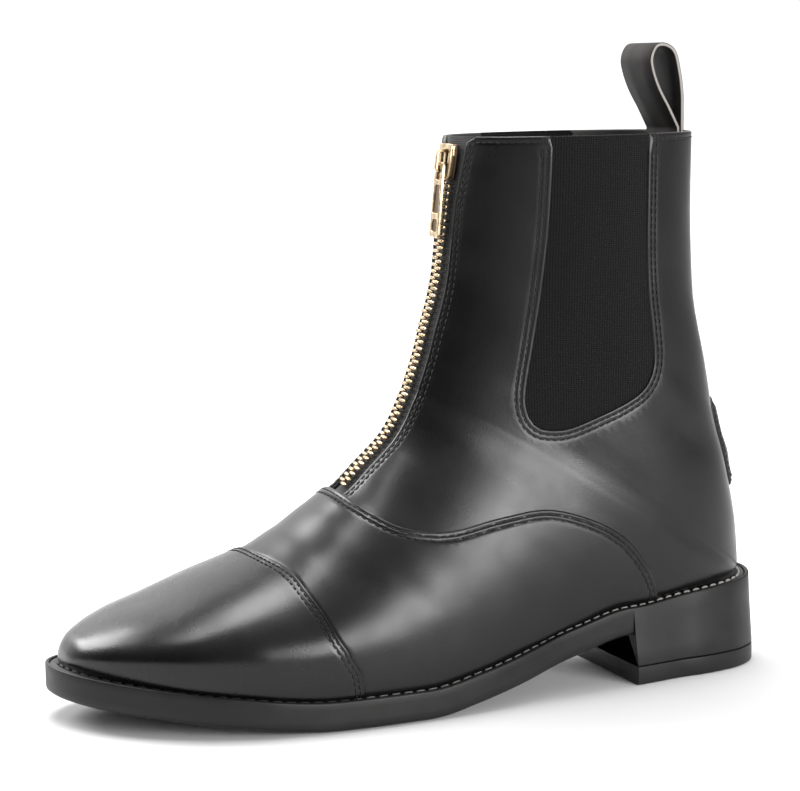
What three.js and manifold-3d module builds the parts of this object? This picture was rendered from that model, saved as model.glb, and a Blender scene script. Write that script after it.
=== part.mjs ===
// A zip-front paddock boot for the left foot, standing on its sole.
// Millimetres, +Z up, toe towards -Y, outer (lateral) side towards +X.
// Lengths along the boot, called run, are measured forward from the back of the heel.
import * as THREE from "three";
import { mergeVertices } from "three/addons/utils/BufferGeometryUtils.js";
import Module from "manifold-3d";

const wasm = await Module();
wasm.setup();

// Driving sizes
const soleLength = 296; // back of the heel to the tip of the toe
const ballWidth = 102; // sole across the ball
const heelSeatWidth = 61; // sole across the heel
const shaftHeight = 220; // floor to collar
const shaftDepth = 101.7; // collar, front to back
const shaftWidth = 77.4; // collar, side to side
const instepRise = 71.5; // welt to the foot of the zip
const heelHeight = 27.5; // floor to the sole's underside at the back of the heel
const breastHeight = 21.6; // floor to the sole's underside just ahead of the heel
const heelLength = 67.7;
const heelFlare = 3.4; // how far the heel block spreads by its foot, at the breast
const backFlare = 0.8; // the same at the back
const topLiftThickness = 7.6;
const soleThickness = 9.8; // edge of the sole
const toeSpring = 10.6; // rise of the tread under the toe
const edgeBevel = 2.1; // height of the tread's rounded edge
const bevelWidth = 4;
const weltLedge = 5.2; // sole that shows outside the upper
const toeLedge = 2; // how much more of it shows round the toe
const rimWidth = 1.6; // sole's own rim outside the welt
const rimBevel = 0.6;
const weltThickness = 2;
const wall = 2; // leather with its lining
const overlayThickness = 1.1; // vamp laid on the quarters
const capStep = 0.8; // how much thicker the toe cap is than the vamp
const goreSink = 0.7; // elastic below the face of the leather
const goreThickness = 1.3;
const insoleThickness = 3.5;
const gap = 0.3; // between pieces that touch
const cutReach = 6; // how far a cut runs past the surface
const zipSlot = 17; // between the leather edges beside the zip
const zipSlotTop = 25; // the same at the collar
const cornerRadius = 4.5; // rounding of the collar's front corners
const tapeThickness = 0.9;
const tapeMargin = 3.5; // tape sewn under the leather on each side
const chainWidth = 7.6;
const chainHeight = 2.2;
const toothPitch = 2.7;
const sliderWidth = 11.6;
const sliderLength = 14;
const sliderThickness = 3.2; // in front of the tape
const sliderDrop = 3; // from the collar down to the slider's top
const bridgeWidth = 2;
const bridgeLength = 9;
const bridgeRise = 3.6;
const bridgeBar = 1.1;
const tabLength = 29;
const tabWidth = 8.6;
const tabThickness = 1.4;
const tabWindow = 5.6; // hole that the slider's bridge passes through
const spurRestHeight = 38;
const spurRestWidth = 19;
const spurRestProud = 4;
const spurRestFoot = 72.5; // floor to its lower edge
const loopWidth = 26;
const loopHeight = 34.5; // above the collar
const loopDepth = 13.6;
const strapThickness = 1.7;
const loopTail = 22; // length sewn down inside the collar

// Fineness of the faceted surfaces
const footRows = 24;
const shaftRows = 10;
const sideSteps = 10;
const outlineSteps = 34;

const materials = {
  leather: { color: 0x17161a, roughness: 0.36, metalness: 0 },
  capLeather: { color: 0x1b1a1e, roughness: 0.32, metalness: 0 },
  elastic: { color: 0x0d0d0e, roughness: 0.95, metalness: 0 },
  rubber: { color: 0x242424, roughness: 0.6, metalness: 0 },
  welt: { color: 0x1d1c1c, roughness: 0.7, metalness: 0 },
  brass: { color: 0xb28c4c, roughness: 0.35, metalness: 1 },
  tape: { color: 0x202022, roughness: 0.9, metalness: 0 },
  strap: { color: 0x2b2522, roughness: 0.7, metalness: 0 },
  lining: { color: 0x3a3835, roughness: 0.85, metalness: 0 },
};

// Smooth curve through (x, y) pairs that never overshoots them.
function curve(xs, ys) {
  const n = xs.length;
  const slope = [];
  for (let i = 0; i < n - 1; i++) slope.push((ys[i + 1] - ys[i]) / (xs[i + 1] - xs[i]));
  const m = xs.map((_, i) => {
    if (i === 0) return slope[0];
    if (i === n - 1) return slope[n - 2];
    if (slope[i - 1] * slope[i] <= 0) return 0;
    const before = xs[i] - xs[i - 1];
    const after = xs[i + 1] - xs[i];
    const w1 = 2 * after + before;
    const w2 = after + 2 * before;
    return (w1 + w2) / (w1 / slope[i - 1] + w2 / slope[i]);
  });
  return (x) => {
    const at = THREE.MathUtils.clamp(x, xs[0], xs[n - 1]);
    let i = 0;
    while (i < n - 2 && at > xs[i + 1]) i++;
    const h = xs[i + 1] - xs[i];
    const t = (at - xs[i]) / h;
    const a = ys[i] * (1 + 2 * t) * (1 - t) ** 2 + ys[i + 1] * t * t * (3 - 2 * t);
    return a + h * (m[i] * t * (1 - t) ** 2 - m[i + 1] * t * t * (1 - t));
  };
}

// Turns a table of rows into one curve for each named column.
function columns(rows, key) {
  const xs = rows.map((row, i) => (key ? row[key] : i));
  const out = {};
  for (const name of Object.keys(rows[0])) out[name] = curve(xs, rows.map((row) => row[name]));
  return out;
}

// A run as an angle share: 0 at the back of the heel, 1 at the toe tip, even round both ends.
const share = (run) => THREE.MathUtils.clamp(run / soleLength, 0, 1);
const turnOf = (run) => Math.acos(1 - 2 * share(run)) / Math.PI;
const runOf = (turn) => (soleLength * (1 - Math.cos(Math.PI * turn))) / 2;

// Half widths of the sole from its long axis; heel columns are shares of the heel seat's
// width, ball columns of the ball's width.
const outlineRows = [
  { run: 0.0, outerHeel: 0.0, outerBall: 0.0, innerHeel: 0.0, innerBall: 0.0 },
  { run: 0.0085, outerHeel: 0.19, outerBall: 0.0, innerHeel: 0.19, innerBall: 0.0 },
  { run: 0.03, outerHeel: 0.345, outerBall: 0.0, innerHeel: 0.345, innerBall: 0.0 },
  { run: 0.075, outerHeel: 0.46, outerBall: 0.0, innerHeel: 0.455, innerBall: 0.0 },
  { run: 0.135, outerHeel: 0.5, outerBall: 0.0, innerHeel: 0.49, innerBall: 0.0 },
  { run: 0.22, outerHeel: 0.4, outerBall: 0.092, innerHeel: 0.43, innerBall: 0.05 },
  { run: 0.34, outerHeel: 0.2, outerBall: 0.245, innerHeel: 0.27, innerBall: 0.168 },
  { run: 0.42, outerHeel: 0.08, outerBall: 0.385, innerHeel: 0.12, innerBall: 0.31 },
  { run: 0.53, outerHeel: 0.0, outerBall: 0.492, innerHeel: 0.0, innerBall: 0.445 },
  { run: 0.63, outerHeel: 0.0, outerBall: 0.507, innerHeel: 0.0, innerBall: 0.492 },
  { run: 0.75, outerHeel: 0.0, outerBall: 0.478, innerHeel: 0.0, innerBall: 0.488 },
  { run: 0.832, outerHeel: 0.0, outerBall: 0.405, innerHeel: 0.0, innerBall: 0.455 },
  { run: 0.9, outerHeel: 0.0, outerBall: 0.291, innerHeel: 0.0, innerBall: 0.421 },
  { run: 0.953, outerHeel: 0.0, outerBall: 0.157, innerHeel: 0.0, innerBall: 0.354 },
  { run: 0.987, outerHeel: 0.0, outerBall: 0.012, innerHeel: 0.0, innerBall: 0.262 },
  { run: 1.0, outerHeel: 0.0, outerBall: -0.152, innerHeel: 0.0, innerBall: 0.152 },
].map((row) => ({ ...row, turn: turnOf(row.run * soleLength) }));
const outline = columns(outlineRows, "turn");

// Plan position of the sole's edge, moved inwards by inset; side is 1 outer, -1 inner.
function edgePoint(turn, side, inset) {
  const halfWidth = (t) => {
    if (side > 0) return outline.outerHeel(t) * heelSeatWidth + outline.outerBall(t) * ballWidth;
    return -outline.innerHeel(t) * heelSeatWidth - outline.innerBall(t) * ballWidth;
  };
  const run = runOf(turn);
  const x = halfWidth(turn);
  if (turn <= 0) return { run: inset, x };
  if (turn >= 1) return { run: soleLength - inset, x };
  const step = 0.004;
  const before = Math.max(turn - step, 0);
  const after = Math.min(turn + step, 1);
  const alongRun = runOf(after) - runOf(before);
  const alongX = halfWidth(after) - halfWidth(before);
  const length = Math.hypot(alongRun, alongX) * side;
  return { run: run + (inset * alongX) / length, x: x - (inset * alongRun) / length };
}

// Heights along the sole: top of the welt's rim and the tread ahead of the heel.
const heightRows = [
  { run: 0.0, heel: 1.0, arch: 0.0, toe: 0.0 },
  { run: 0.115, heel: 0.56, arch: 0.44, toe: 0.0 },
  { run: 0.23, heel: 0.0, arch: 1.0, toe: 0.0 },
  { run: 0.312, heel: 0.0, arch: 0.742, toe: 0.0 },
  { run: 0.39, heel: 0.0, arch: 0.445, toe: 0.0 },
  { run: 0.468, heel: 0.0, arch: 0.19, toe: 0.0 },
  { run: 0.55, heel: 0.0, arch: 0.0, toe: 0.0 },
  { run: 0.675, heel: 0.0, arch: 0.0, toe: 0.0 },
  { run: 0.805, heel: 0.0, arch: 0.0, toe: 0.36 },
  { run: 0.91, heel: 0.0, arch: 0.0, toe: 0.71 },
  { run: 1.0, heel: 0.0, arch: 0.0, toe: 1.0 },
];
const height = columns(heightRows, "run");

// Underside of the sole's edge if there were no heel block.
function underside(run) {
  const at = run / soleLength;
  const arch = height.arch(at) * (breastHeight - edgeBevel);
  return edgeBevel + height.heel(at) * (heelHeight - edgeBevel) + arch + height.toe(at) * toeSpring;
}
const toeStart = 0.86; // share of the length where the ledge starts to widen
function ledgeAt(run) {
  const t = THREE.MathUtils.smoothstep(run / soleLength, toeStart, 1);
  return weltLedge + toeLedge * t;
}
const rimTop = (run) => underside(run) + soleThickness;
const treadAt = (run) => Math.max(underside(run) - edgeBevel, 0);
const channelFloor = (run) => rimTop(run) - weltThickness - 2 * gap;
const seat = (run) => rimTop(run); // where the upper's lower edge lies

// Sections of the upper, from the toe tip to the collar.
// ridge and depth place the top or front of the section: shares of the foot's length and of
// the shaft's depth. foot and shaft raise it: shares of the instep's rise, then of the rest.
// base is the sole run where its lower end meets the welt. back and climb are the back seam:
// share of the sole's length, and of the height from the heel seat to the collar.
// follow, outer and inner give the half widths: share of the welt's own, and of shaft width.
// widest is where it is widest, from ridge to base; round below 1 is fuller beside the ridge,
// and full below 1 is fuller beside the base.
const sectionRows = [
  { ridge: 1.0, depth: 0.0, foot: 0.0, shaft: 0.0, base: 1.0, back: 0.0, climb: 0.0,
    follow: 1.0, outer: 0.0, inner: 0.0, ridgeX: -0.152, widest: 0.6, round: 0.9, full: 1.0 },
  { ridge: 0.9972, depth: 0.0, foot: 0.0694, shaft: 0.0, base: 0.9945, back: 0.0, climb: 0.0,
    follow: 1.0, outer: 0.01, inner: 0.01, ridgeX: -0.15, widest: 0.6, round: 0.86, full: 1.0 },
  { ridge: 0.988, depth: 0.0, foot: 0.1427, shaft: 0.0, base: 0.98, back: 0.0, climb: 0.0,
    follow: 1.0, outer: 0.018, inner: 0.018, ridgeX: -0.147, widest: 0.6, round: 0.82, full: 1.0 },
  { ridge: 0.9687, depth: 0.0, foot: 0.2096, shaft: 0.0, base: 0.953, back: 0.0, climb: 0.0,
    follow: 1.0, outer: 0.024, inner: 0.024, ridgeX: -0.142, widest: 0.6, round: 0.8, full: 1.0 },
  { ridge: 0.933, depth: 0.0, foot: 0.304, shaft: 0.0, base: 0.91, back: 0.0, climb: 0.0,
    follow: 1.0, outer: 0.026, inner: 0.026, ridgeX: -0.132, widest: 0.61, round: 0.82, full: 1.0 },
  { ridge: 0.8803, depth: 0.0, foot: 0.4107, shaft: 0.0, base: 0.85, back: 0.0, climb: 0.0,
    follow: 1.0, outer: 0.026, inner: 0.026, ridgeX: -0.117, widest: 0.63, round: 0.88, full: 1.0 },
  { ridge: 0.8287, depth: 0.0, foot: 0.5185, shaft: 0.0, base: 0.788, back: 0.0, climb: 0.0,
    follow: 1.0, outer: 0.026, inner: 0.026, ridgeX: -0.1, widest: 0.66, round: 0.95, full: 1.0 },
  { ridge: 0.7827, depth: 0.0, foot: 0.6022, shaft: 0.0, base: 0.726, back: 0.0, climb: 0.0,
    follow: 1.0, outer: 0.028, inner: 0.028, ridgeX: -0.086, widest: 0.68, round: 1.0, full: 1.0 },
  { ridge: 0.741, depth: 0.0, foot: 0.6787, shaft: 0.0, base: 0.662, back: 0.0, climb: 0.0,
    follow: 1.0, outer: 0.03, inner: 0.03, ridgeX: -0.072, widest: 0.7, round: 1.04, full: 1.0 },
  { ridge: 0.702, depth: 0.0, foot: 0.7734, shaft: 0.0, base: 0.59, back: 0.0, climb: 0.0,
    follow: 1.0, outer: 0.035, inner: 0.035, ridgeX: -0.06, widest: 0.7, round: 0.98, full: 1.0 },
  { ridge: 0.6535, depth: 0.02, foot: 0.8691, shaft: 0.012, base: 0.515, back: 0.0, climb: 0.0,
    follow: 1.0, outer: 0.045, inner: 0.05, ridgeX: -0.046, widest: 0.69, round: 0.92, full: 1.0 },
  { ridge: 0.5955, depth: 0.08, foot: 0.9389, shaft: 0.032, base: 0.435, back: 0.0, climb: 0.0,
    follow: 1.0, outer: 0.06, inner: 0.08, ridgeX: -0.034, widest: 0.66, round: 0.88, full: 1.0 },
  { ridge: 0.5268, depth: 0.18, foot: 0.9752, shaft: 0.083, base: 0.335, back: 0.0, climb: 0.0,
    follow: 0.85, outer: 0.167, inner: 0.182, ridgeX: -0.026, widest: 0.62, round: 0.87, full: 1.1 },
  { ridge: 0.4575, depth: 0.3, foot: 1.0, shaft: 0.127, base: 0.237, back: 0.0, climb: 0.0,
    follow: 0.65, outer: 0.243, inner: 0.249, ridgeX: -0.021, widest: 0.58, round: 0.87, full: 1.2 },
  { ridge: 0.393, depth: 0.42, foot: 1.0, shaft: 0.195, base: 0.149, back: 0.0, climb: 0.0,
    follow: 0.45, outer: 0.3165, inner: 0.3165, ridgeX: -0.018, widest: 0.55, round: 0.87, full: 1.3 },
  { ridge: 0.3527, depth: 0.5, foot: 1.0, shaft: 0.25, base: 0.079, back: 0.0, climb: 0.0,
    follow: 0.28, outer: 0.371, inner: 0.371, ridgeX: -0.017, widest: 0.53, round: 0.87, full: 1.35 },
  { ridge: 0.3298, depth: 0.545, foot: 1.0, shaft: 0.283, base: 0.03, back: 0.0, climb: 0.0,
    follow: 0.12, outer: 0.4175, inner: 0.4175, ridgeX: -0.017, widest: 0.52, round: 0.87, full: 1.3 },
  { ridge: 0.3135, depth: 0.58, foot: 1.0, shaft: 0.308, base: 0.0055, back: 0.0, climb: 0.0,
    follow: 0.03, outer: 0.4365, inner: 0.4365, ridgeX: -0.017, widest: 0.51, round: 0.87, full: 1.1 },
  { ridge: 0.2784, depth: 0.64, foot: 1.0, shaft: 0.392, base: 0.0, back: 0.0, climb: 0.0,
    follow: 0.0, outer: 0.4367, inner: 0.4367, ridgeX: -0.017, widest: 0.5, round: 0.87, full: 0.95 },
  { ridge: 0.2494, depth: 0.7, foot: 1.0, shaft: 0.458, base: 0.0, back: 0.0, climb: 0.02,
    follow: 0.0, outer: 0.4367, inner: 0.4367, ridgeX: -0.017, widest: 0.5, round: 0.9, full: 0.9 },
  { ridge: 0.2143, depth: 0.77, foot: 1.0, shaft: 0.524, base: 0.0, back: 0.0001, climb: 0.08,
    follow: 0.0, outer: 0.438, inner: 0.438, ridgeX: -0.017, widest: 0.5, round: 0.89, full: 0.86 },
  { ridge: 0.1832, depth: 0.83, foot: 1.0, shaft: 0.605, base: 0.0, back: 0.0089, climb: 0.18,
    follow: 0.0, outer: 0.4405, inner: 0.4405, ridgeX: -0.017, widest: 0.5, round: 0.88, full: 0.84 },
  { ridge: 0.1573, depth: 0.88, foot: 1.0, shaft: 0.729, base: 0.0, back: 0.0359, climb: 0.31,
    follow: 0.0, outer: 0.446, inner: 0.446, ridgeX: -0.017, widest: 0.5, round: 0.87, full: 0.83 },
  { ridge: 0.1354, depth: 0.925, foot: 1.0, shaft: 0.824, base: 0.0, back: 0.0552, climb: 0.47,
    follow: 0.0, outer: 0.457, inner: 0.457, ridgeX: -0.017, widest: 0.5, round: 0.86, full: 0.83 },
  { ridge: 0.1171, depth: 0.96, foot: 1.0, shaft: 0.901, base: 0.0, back: 0.0771, climb: 0.65,
    follow: 0.0, outer: 0.474, inner: 0.474, ridgeX: -0.017, widest: 0.5, round: 0.86, full: 0.84 },
  { ridge: 0.1048, depth: 0.985, foot: 1.0, shaft: 0.956, base: 0.0, back: 0.0817, climb: 0.83,
    follow: 0.0, outer: 0.491, inner: 0.491, ridgeX: -0.017, widest: 0.5, round: 0.86, full: 0.85 },
  { ridge: 0.099, depth: 1.0, foot: 1.0, shaft: 1.0, base: 0.0, back: 0.0797, climb: 1.0,
    follow: 0.0, outer: 0.5, inner: 0.5, ridgeX: -0.017, widest: 0.5, round: 0.86, full: 0.86 },
].map((row) => ({ ...row, turn: turnOf(row.base * soleLength) }));
const section = columns(sectionRows);
const collarStation = sectionRows.length - 1;
const heelStation = sectionRows.findIndex((row) => row.base === 0);
const throatStation = 11; // the row at the foot of the zip

const footLength = soleLength - ledgeAt(soleLength);
const ridgeRun = (station) => section.ridge(station) * footLength + section.depth(station) * shaftDepth;
const throatHeight = seat(ridgeRun(throatStation)) + instepRise;

// Top and front line of the upper in the side view.
function ridgePoint(station) {
  const run = ridgeRun(station);
  const low = THREE.MathUtils.lerp(seat(run), throatHeight, section.foot(station));
  return { run, z: low + section.shaft(station) * (shaftHeight - throatHeight) };
}

// Back seam in the side view.
function backPoint(station) {
  const heelSeat = seat(0);
  const run = weltLedge + section.back(station) * soleLength;
  return { run, z: heelSeat + section.climb(station) * (shaftHeight - heelSeat) };
}

// A point of a side-view line moved out along the line's normal; outward is 1 or -1.
function liftedPoint(line, station, lift, first, outward) {
  const step = 0.02;
  const here = line(station);
  const before = line(Math.max(station - step, first));
  const after = line(Math.min(station + step, collarStation));
  const run = after.run - before.run;
  const z = after.z - before.z;
  const length = Math.hypot(run, z) * outward;
  return { run: here.run + (lift * z) / length, z: here.z - (lift * run) / length };
}

// Lower or back end of a section: on the welt ahead of the heel seam, then on the back seam.
function basePoint(station, side, lift) {
  if (station > heelStation) {
    return { ...liftedPoint(backPoint, station, lift, heelStation, -1), x: 0 };
  }
  const turn = section.turn(station);
  const edge = edgePoint(turn, side, ledgeAt(runOf(turn)) - lift);
  return { run: edge.run, z: seat(edge.run), x: edge.x };
}

// A point of the upper's surface: angle 0 is the ridge, PI the welt or back seam;
// side is 1 outer, -1 inner; lift is the distance out from the leather's face.
function upperPoint(station, side, angle, lift) {
  const base = basePoint(station, side, lift);
  const front = station > 0 ? liftedPoint(ridgePoint, station, lift, 0, 1) : base;
  const ridgeX = section.ridgeX(station) * ballWidth;
  const share = side > 0 ? section.outer(station) : section.inner(station);
  const follow = section.follow(station);
  const widestX = follow * base.x + side * (share * shaftWidth + (1 - follow) * lift);
  const widest = section.widest(station);
  const above = angle <= Math.PI / 2;
  const down = above ? widest * (1 - Math.cos(angle)) : widest - (1 - widest) * Math.cos(angle);
  const swell = Math.sin(angle) ** (above ? section.round(station) : section.full(station));
  const from = above ? ridgeX : base.x;
  return new THREE.Vector3(
    from + (widestX - from) * swell,
    soleLength / 2 - THREE.MathUtils.lerp(front.run, base.run, down),
    THREE.MathUtils.lerp(front.z, base.z, down),
  );
}

// Stations at which the surface is cut into facets.
function stationList() {
  const list = [];
  for (let i = 0; i < footRows; i++) list.push((heelStation * i) / footRows);
  for (let i = 0; i <= shaftRows; i++) {
    list.push(heelStation + ((collarStation - heelStation) * i) / shaftRows);
  }
  return list;
}
const stations = stationList();

// Closed surface from a list of triangles, each three points.
function solidFrom(triangles) {
  const position = new Float32Array(triangles.length * 9);
  triangles.forEach((triangle, i) => triangle.forEach((p, k) => position.set(p.toArray(), i * 9 + k * 3)));
  const raw = new THREE.BufferGeometry();
  raw.setAttribute("position", new THREE.BufferAttribute(position, 3));
  return solidOf(raw);
}

// Geometry to solid: shared corners are merged and collapsed faces dropped.
function solidOf(geometry) {
  const bare = new THREE.BufferGeometry();
  const source = geometry.index ? geometry.toNonIndexed() : geometry;
  bare.setAttribute("position", source.getAttribute("position"));
  const merged = mergeVertices(bare, 1e-4);
  const index = merged.index.array;
  const kept = [];
  for (let i = 0; i < index.length; i += 3) {
    const [a, b, c] = [index[i], index[i + 1], index[i + 2]];
    if (a !== b && b !== c && c !== a) kept.push(a, b, c);
  }
  return new wasm.Manifold(
    new wasm.Mesh({
      numProp: 3,
      vertProperties: new Float32Array(merged.attributes.position.array),
      triVerts: new Uint32Array(kept),
    }),
  );
}

// A named mesh of the main body of a solid, without the collapsed slivers that a cut can leave.
function meshOf(name, solid, material) {
  const bodies = solid.decompose().sort((a, b) => b.volume() - a.volume());
  const made = bodies[0].getMesh();
  const geometry = new THREE.BufferGeometry();
  geometry.setAttribute("position", new THREE.BufferAttribute(new Float32Array(made.vertProperties), 3));
  geometry.setIndex(new THREE.BufferAttribute(new Uint32Array(made.triVerts), 1));
  geometry.computeVertexNormals();
  const mesh = new THREE.Mesh(geometry, new THREE.MeshStandardMaterial(materials[material]));
  mesh.name = name;
  return mesh;
}

// Two triangles of a four-sided facet whose corners run anticlockwise seen from outside.
function quad(out, a, b, c, d) {
  out.push([a, b, c], [a, c, d]);
}

const down = (p, by) => new THREE.Vector3(p.x, p.y, p.z - by);

// The whole form of the upper, filled, with its surface moved out by lift.
// below and above lengthen it past the welt and the collar, so that it can cut right through.
function form(lift, below = 0, above = 0) {
  const count = 2 * sideSteps;
  const rings = stations.map((station) => {
    const ring = [];
    for (let j = 0; j <= count; j++) {
      const side = j <= sideSteps ? 1 : -1;
      ring.push(upperPoint(station, side, Math.PI * Math.abs(1 - j / sideSteps), lift));
    }
    return ring;
  });
  const out = [];
  for (let i = 0; i < rings.length - 1; i++) {
    for (let j = 0; j < count; j++) {
      quad(out, rings[i][j], rings[i + 1][j], rings[i + 1][j + 1], rings[i][j + 1]);
    }
  }
  for (let i = 0; i < footRows; i++) {
    const [a, b, c, d] = [rings[i][0], rings[i][count], rings[i + 1][count], rings[i + 1][0]];
    if (below > 0) {
      quad(out, down(a, below), down(d, below), d, a);
      quad(out, b, c, down(c, below), down(b, below));
    }
    quad(out, down(a, below), down(b, below), down(c, below), down(d, below));
  }
  const top = rings[rings.length - 1];
  const raised = top.map((p) => down(p, -above));
  const centre = new THREE.Vector3(0, 0, 0);
  for (let j = 0; j < count; j++) centre.add(raised[j]);
  centre.divideScalar(count);
  for (let j = 0; j < count; j++) {
    if (above > 0) quad(out, top[j], raised[j], raised[j + 1], top[j + 1]);
    out.push([raised[j], centre, raised[j + 1]]);
  }
  return solidFrom(out);
}

// The layer of the upper between two lifts.
function layer(outer, inner) {
  return form(outer).subtract(form(inner, cutReach, cutReach));
}

// A prism across the boot from an outline of [run, z] pairs in the side view.
function sidePrism(points, fromX, toX) {
  const shape = new THREE.Shape(points.map(([run, z]) => new THREE.Vector2(soleLength / 2 - run, z)));
  const geometry = new THREE.ExtrudeGeometry(shape, { depth: toX - fromX, bevelEnabled: false });
  const turned = new THREE.Matrix4().makeBasis(
    new THREE.Vector3(0, 1, 0),
    new THREE.Vector3(0, 0, 1),
    new THREE.Vector3(1, 0, 0),
  );
  geometry.applyMatrix4(turned);
  geometry.translate(fromX, 0, 0);
  return solidOf(geometry);
}

// Points [a, b] of a smooth open curve through the given pairs.
function smooth(points, divisions) {
  const spline = new THREE.SplineCurve(points.map(([a, b]) => new THREE.Vector2(a, b)));
  return spline.getPoints(divisions).map((p) => [p.x, p.y]);
}

// Points moved in by a distance, for an outline that runs clockwise in run and height.
function shrunk(points, by) {
  return points.map((point, i) => {
    const before = points[(i + points.length - 1) % points.length];
    const after = points[(i + 1) % points.length];
    const run = after[0] - before[0];
    const z = after[1] - before[1];
    const length = Math.hypot(run, z);
    return [point[0] + (by * z) / length, point[1] - (by * run) / length];
  });
}

const halfSpan = ballWidth; // any cutter that spans one side of the boot
const ridgeLineX = section.ridgeX(throatStation - 3) * ballWidth;

// Elastic gores: the hole in the leather, from the collar down and back up.
// across is a share of the shaft's depth from the back of the collar, up a share of its height.
const goreRows = [
  { across: 0.723, up: 1.0 },
  { across: 0.7335, up: 0.837 },
  { across: 0.756, up: 0.727 },
  { across: 0.785, up: 0.636 },
  { across: 0.818, up: 0.55 },
  { across: 0.815, up: 0.512 },
  { across: 0.785, up: 0.489 },
  { across: 0.735, up: 0.4805 },
  { across: 0.65, up: 0.4815 },
  { across: 0.525, up: 0.501 },
  { across: 0.409, up: 0.522 },
  { across: 0.335, up: 0.543 },
  { across: 0.297, up: 0.573 },
  { across: 0.287, up: 0.607 },
  { across: 0.3, up: 0.662 },
  { across: 0.3166, up: 0.725 },
  { across: 0.3265, up: 0.83 },
  { across: 0.3265, up: 1.0 },
];
const collarBack = backPoint(collarStation).run;
const goreOutline = goreRows.map((row) => [collarBack + row.across * shaftDepth, row.up * shaftHeight]);

function gorePrism(points, side) {
  const first = points[0];
  const last = points[points.length - 1];
  const raised = [[last[0], last[1] + cutReach], [first[0], first[1] + cutReach], ...points];
  return side > 0 ? sidePrism(raised, 0, halfSpan) : sidePrism(raised, -halfSpan, 0);
}

// Upper edge of the vamp, from the foot of the zip back and down to the welt.
const vampRows = [
  { run: 0.613, up: 1.0 },
  { run: 0.599, up: 0.945 },
  { run: 0.5625, up: 0.868 },
  { run: 0.501, up: 0.837 },
  { run: 0.4267, up: 0.88 },
  { run: 0.349, up: 0.894 },
  { run: 0.2645, up: 0.779 },
  { run: 0.2166, up: 0.622 },
  { run: 0.1865, up: 0.42 },
  { run: 0.183, up: 0.3 },
];
const vampCurve = vampRows.map((row) => [row.run * soleLength, row.up * throatHeight]);

function vampPrism() {
  const edge = smooth(vampCurve, 30);
  const [endRun] = edge[edge.length - 1];
  const top = throatHeight + 2 * cutReach;
  const points = [[soleLength + cutReach, -cutReach], [soleLength + cutReach, top], [edge[0][0], top]];
  return sidePrism([...points, ...edge, [endRun, -cutReach]], -halfSpan, halfSpan);
}

// Rear edge of the toe cap on each side, from the ridge down to the welt.
const capOuterRows = [
  { run: 0.743, up: 0.79 },
  { run: 0.729, up: 0.762 },
  { run: 0.703, up: 0.676 },
  { run: 0.678, up: 0.458 },
  { run: 0.652, up: 0.255 },
  { run: 0.64, up: 0.1 },
];
const capInnerRows = [
  { run: 0.743, up: 0.79 },
  { run: 0.752, up: 0.735 },
  { run: 0.75, up: 0.62 },
  { run: 0.728, up: 0.4 },
  { run: 0.7, up: 0.21 },
  { run: 0.69, up: 0.1 },
];

// Region of the toe cap, moved back by grow.
function capPrism(grow) {
  const front = soleLength + cutReach;
  const halves = [
    [capOuterRows, ridgeLineX - gap, halfSpan],
    [capInnerRows, -halfSpan, ridgeLineX + gap],
  ].map(([rows, fromX, toX]) => {
    const curvePoints = rows.map((row) => [row.run * soleLength - grow, row.up * throatHeight]);
    const edge = smooth(curvePoints, 14);
    const top = [[front, -cutReach], [front, throatHeight], [edge[0][0], throatHeight]];
    return sidePrism([...top, ...edge, [edge[edge.length - 1][0], -cutReach]], fromX, toX);
  });
  return halves[0].add(halves[1]);
}

// Distance along the ridge from the foot of the zip, and the station at that distance.
const zipFootStation = throatStation - 0.28;
function ridgeLengths() {
  const out = [{ station: zipFootStation, length: 0 }];
  const steps = 160;
  for (let i = 1; i <= steps; i++) {
    const station = zipFootStation + ((collarStation - zipFootStation) * i) / steps;
    const a = ridgePoint(out[i - 1].station);
    const b = ridgePoint(station);
    out.push({ station, length: out[i - 1].length + Math.hypot(b.run - a.run, b.z - a.z) });
  }
  return out;
}
const ridgeTable = ridgeLengths();
const zipLength = ridgeTable[ridgeTable.length - 1].length;
const stationAt = curve(ridgeTable.map((row) => row.length), ridgeTable.map((row) => row.station));

// A ribbon along the ridge between two lifts; each row is { length, half }.
function ridgeRibbon(rows, low, high, taper = 0) {
  const rings = rows.map(({ length, half }) => {
    const past = length - THREE.MathUtils.clamp(length, 0, zipLength);
    const station = stationAt(length);
    const x = section.ridgeX(station) * ballWidth;
    const corner = (offset, lift) => {
      const p = liftedPoint(ridgePoint, station, lift, 0, 1);
      return new THREE.Vector3(x + offset, soleLength / 2 - p.run, p.z + past);
    };
    const top = half - taper;
    return [corner(-top, high), corner(top, high), corner(half, low), corner(-half, low)];
  });
  const out = [];
  for (let i = 0; i < rings.length - 1; i++) {
    for (let k = 0; k < 4; k++) {
      const next = (k + 1) % 4;
      quad(out, rings[i][k], rings[i][next], rings[i + 1][next], rings[i + 1][k]);
    }
  }
  const first = rings[0];
  const last = rings[rings.length - 1];
  quad(out, first[3], first[2], first[1], first[0]);
  quad(out, last[0], last[1], last[2], last[3]);
  return solidFrom(out);
}

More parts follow.
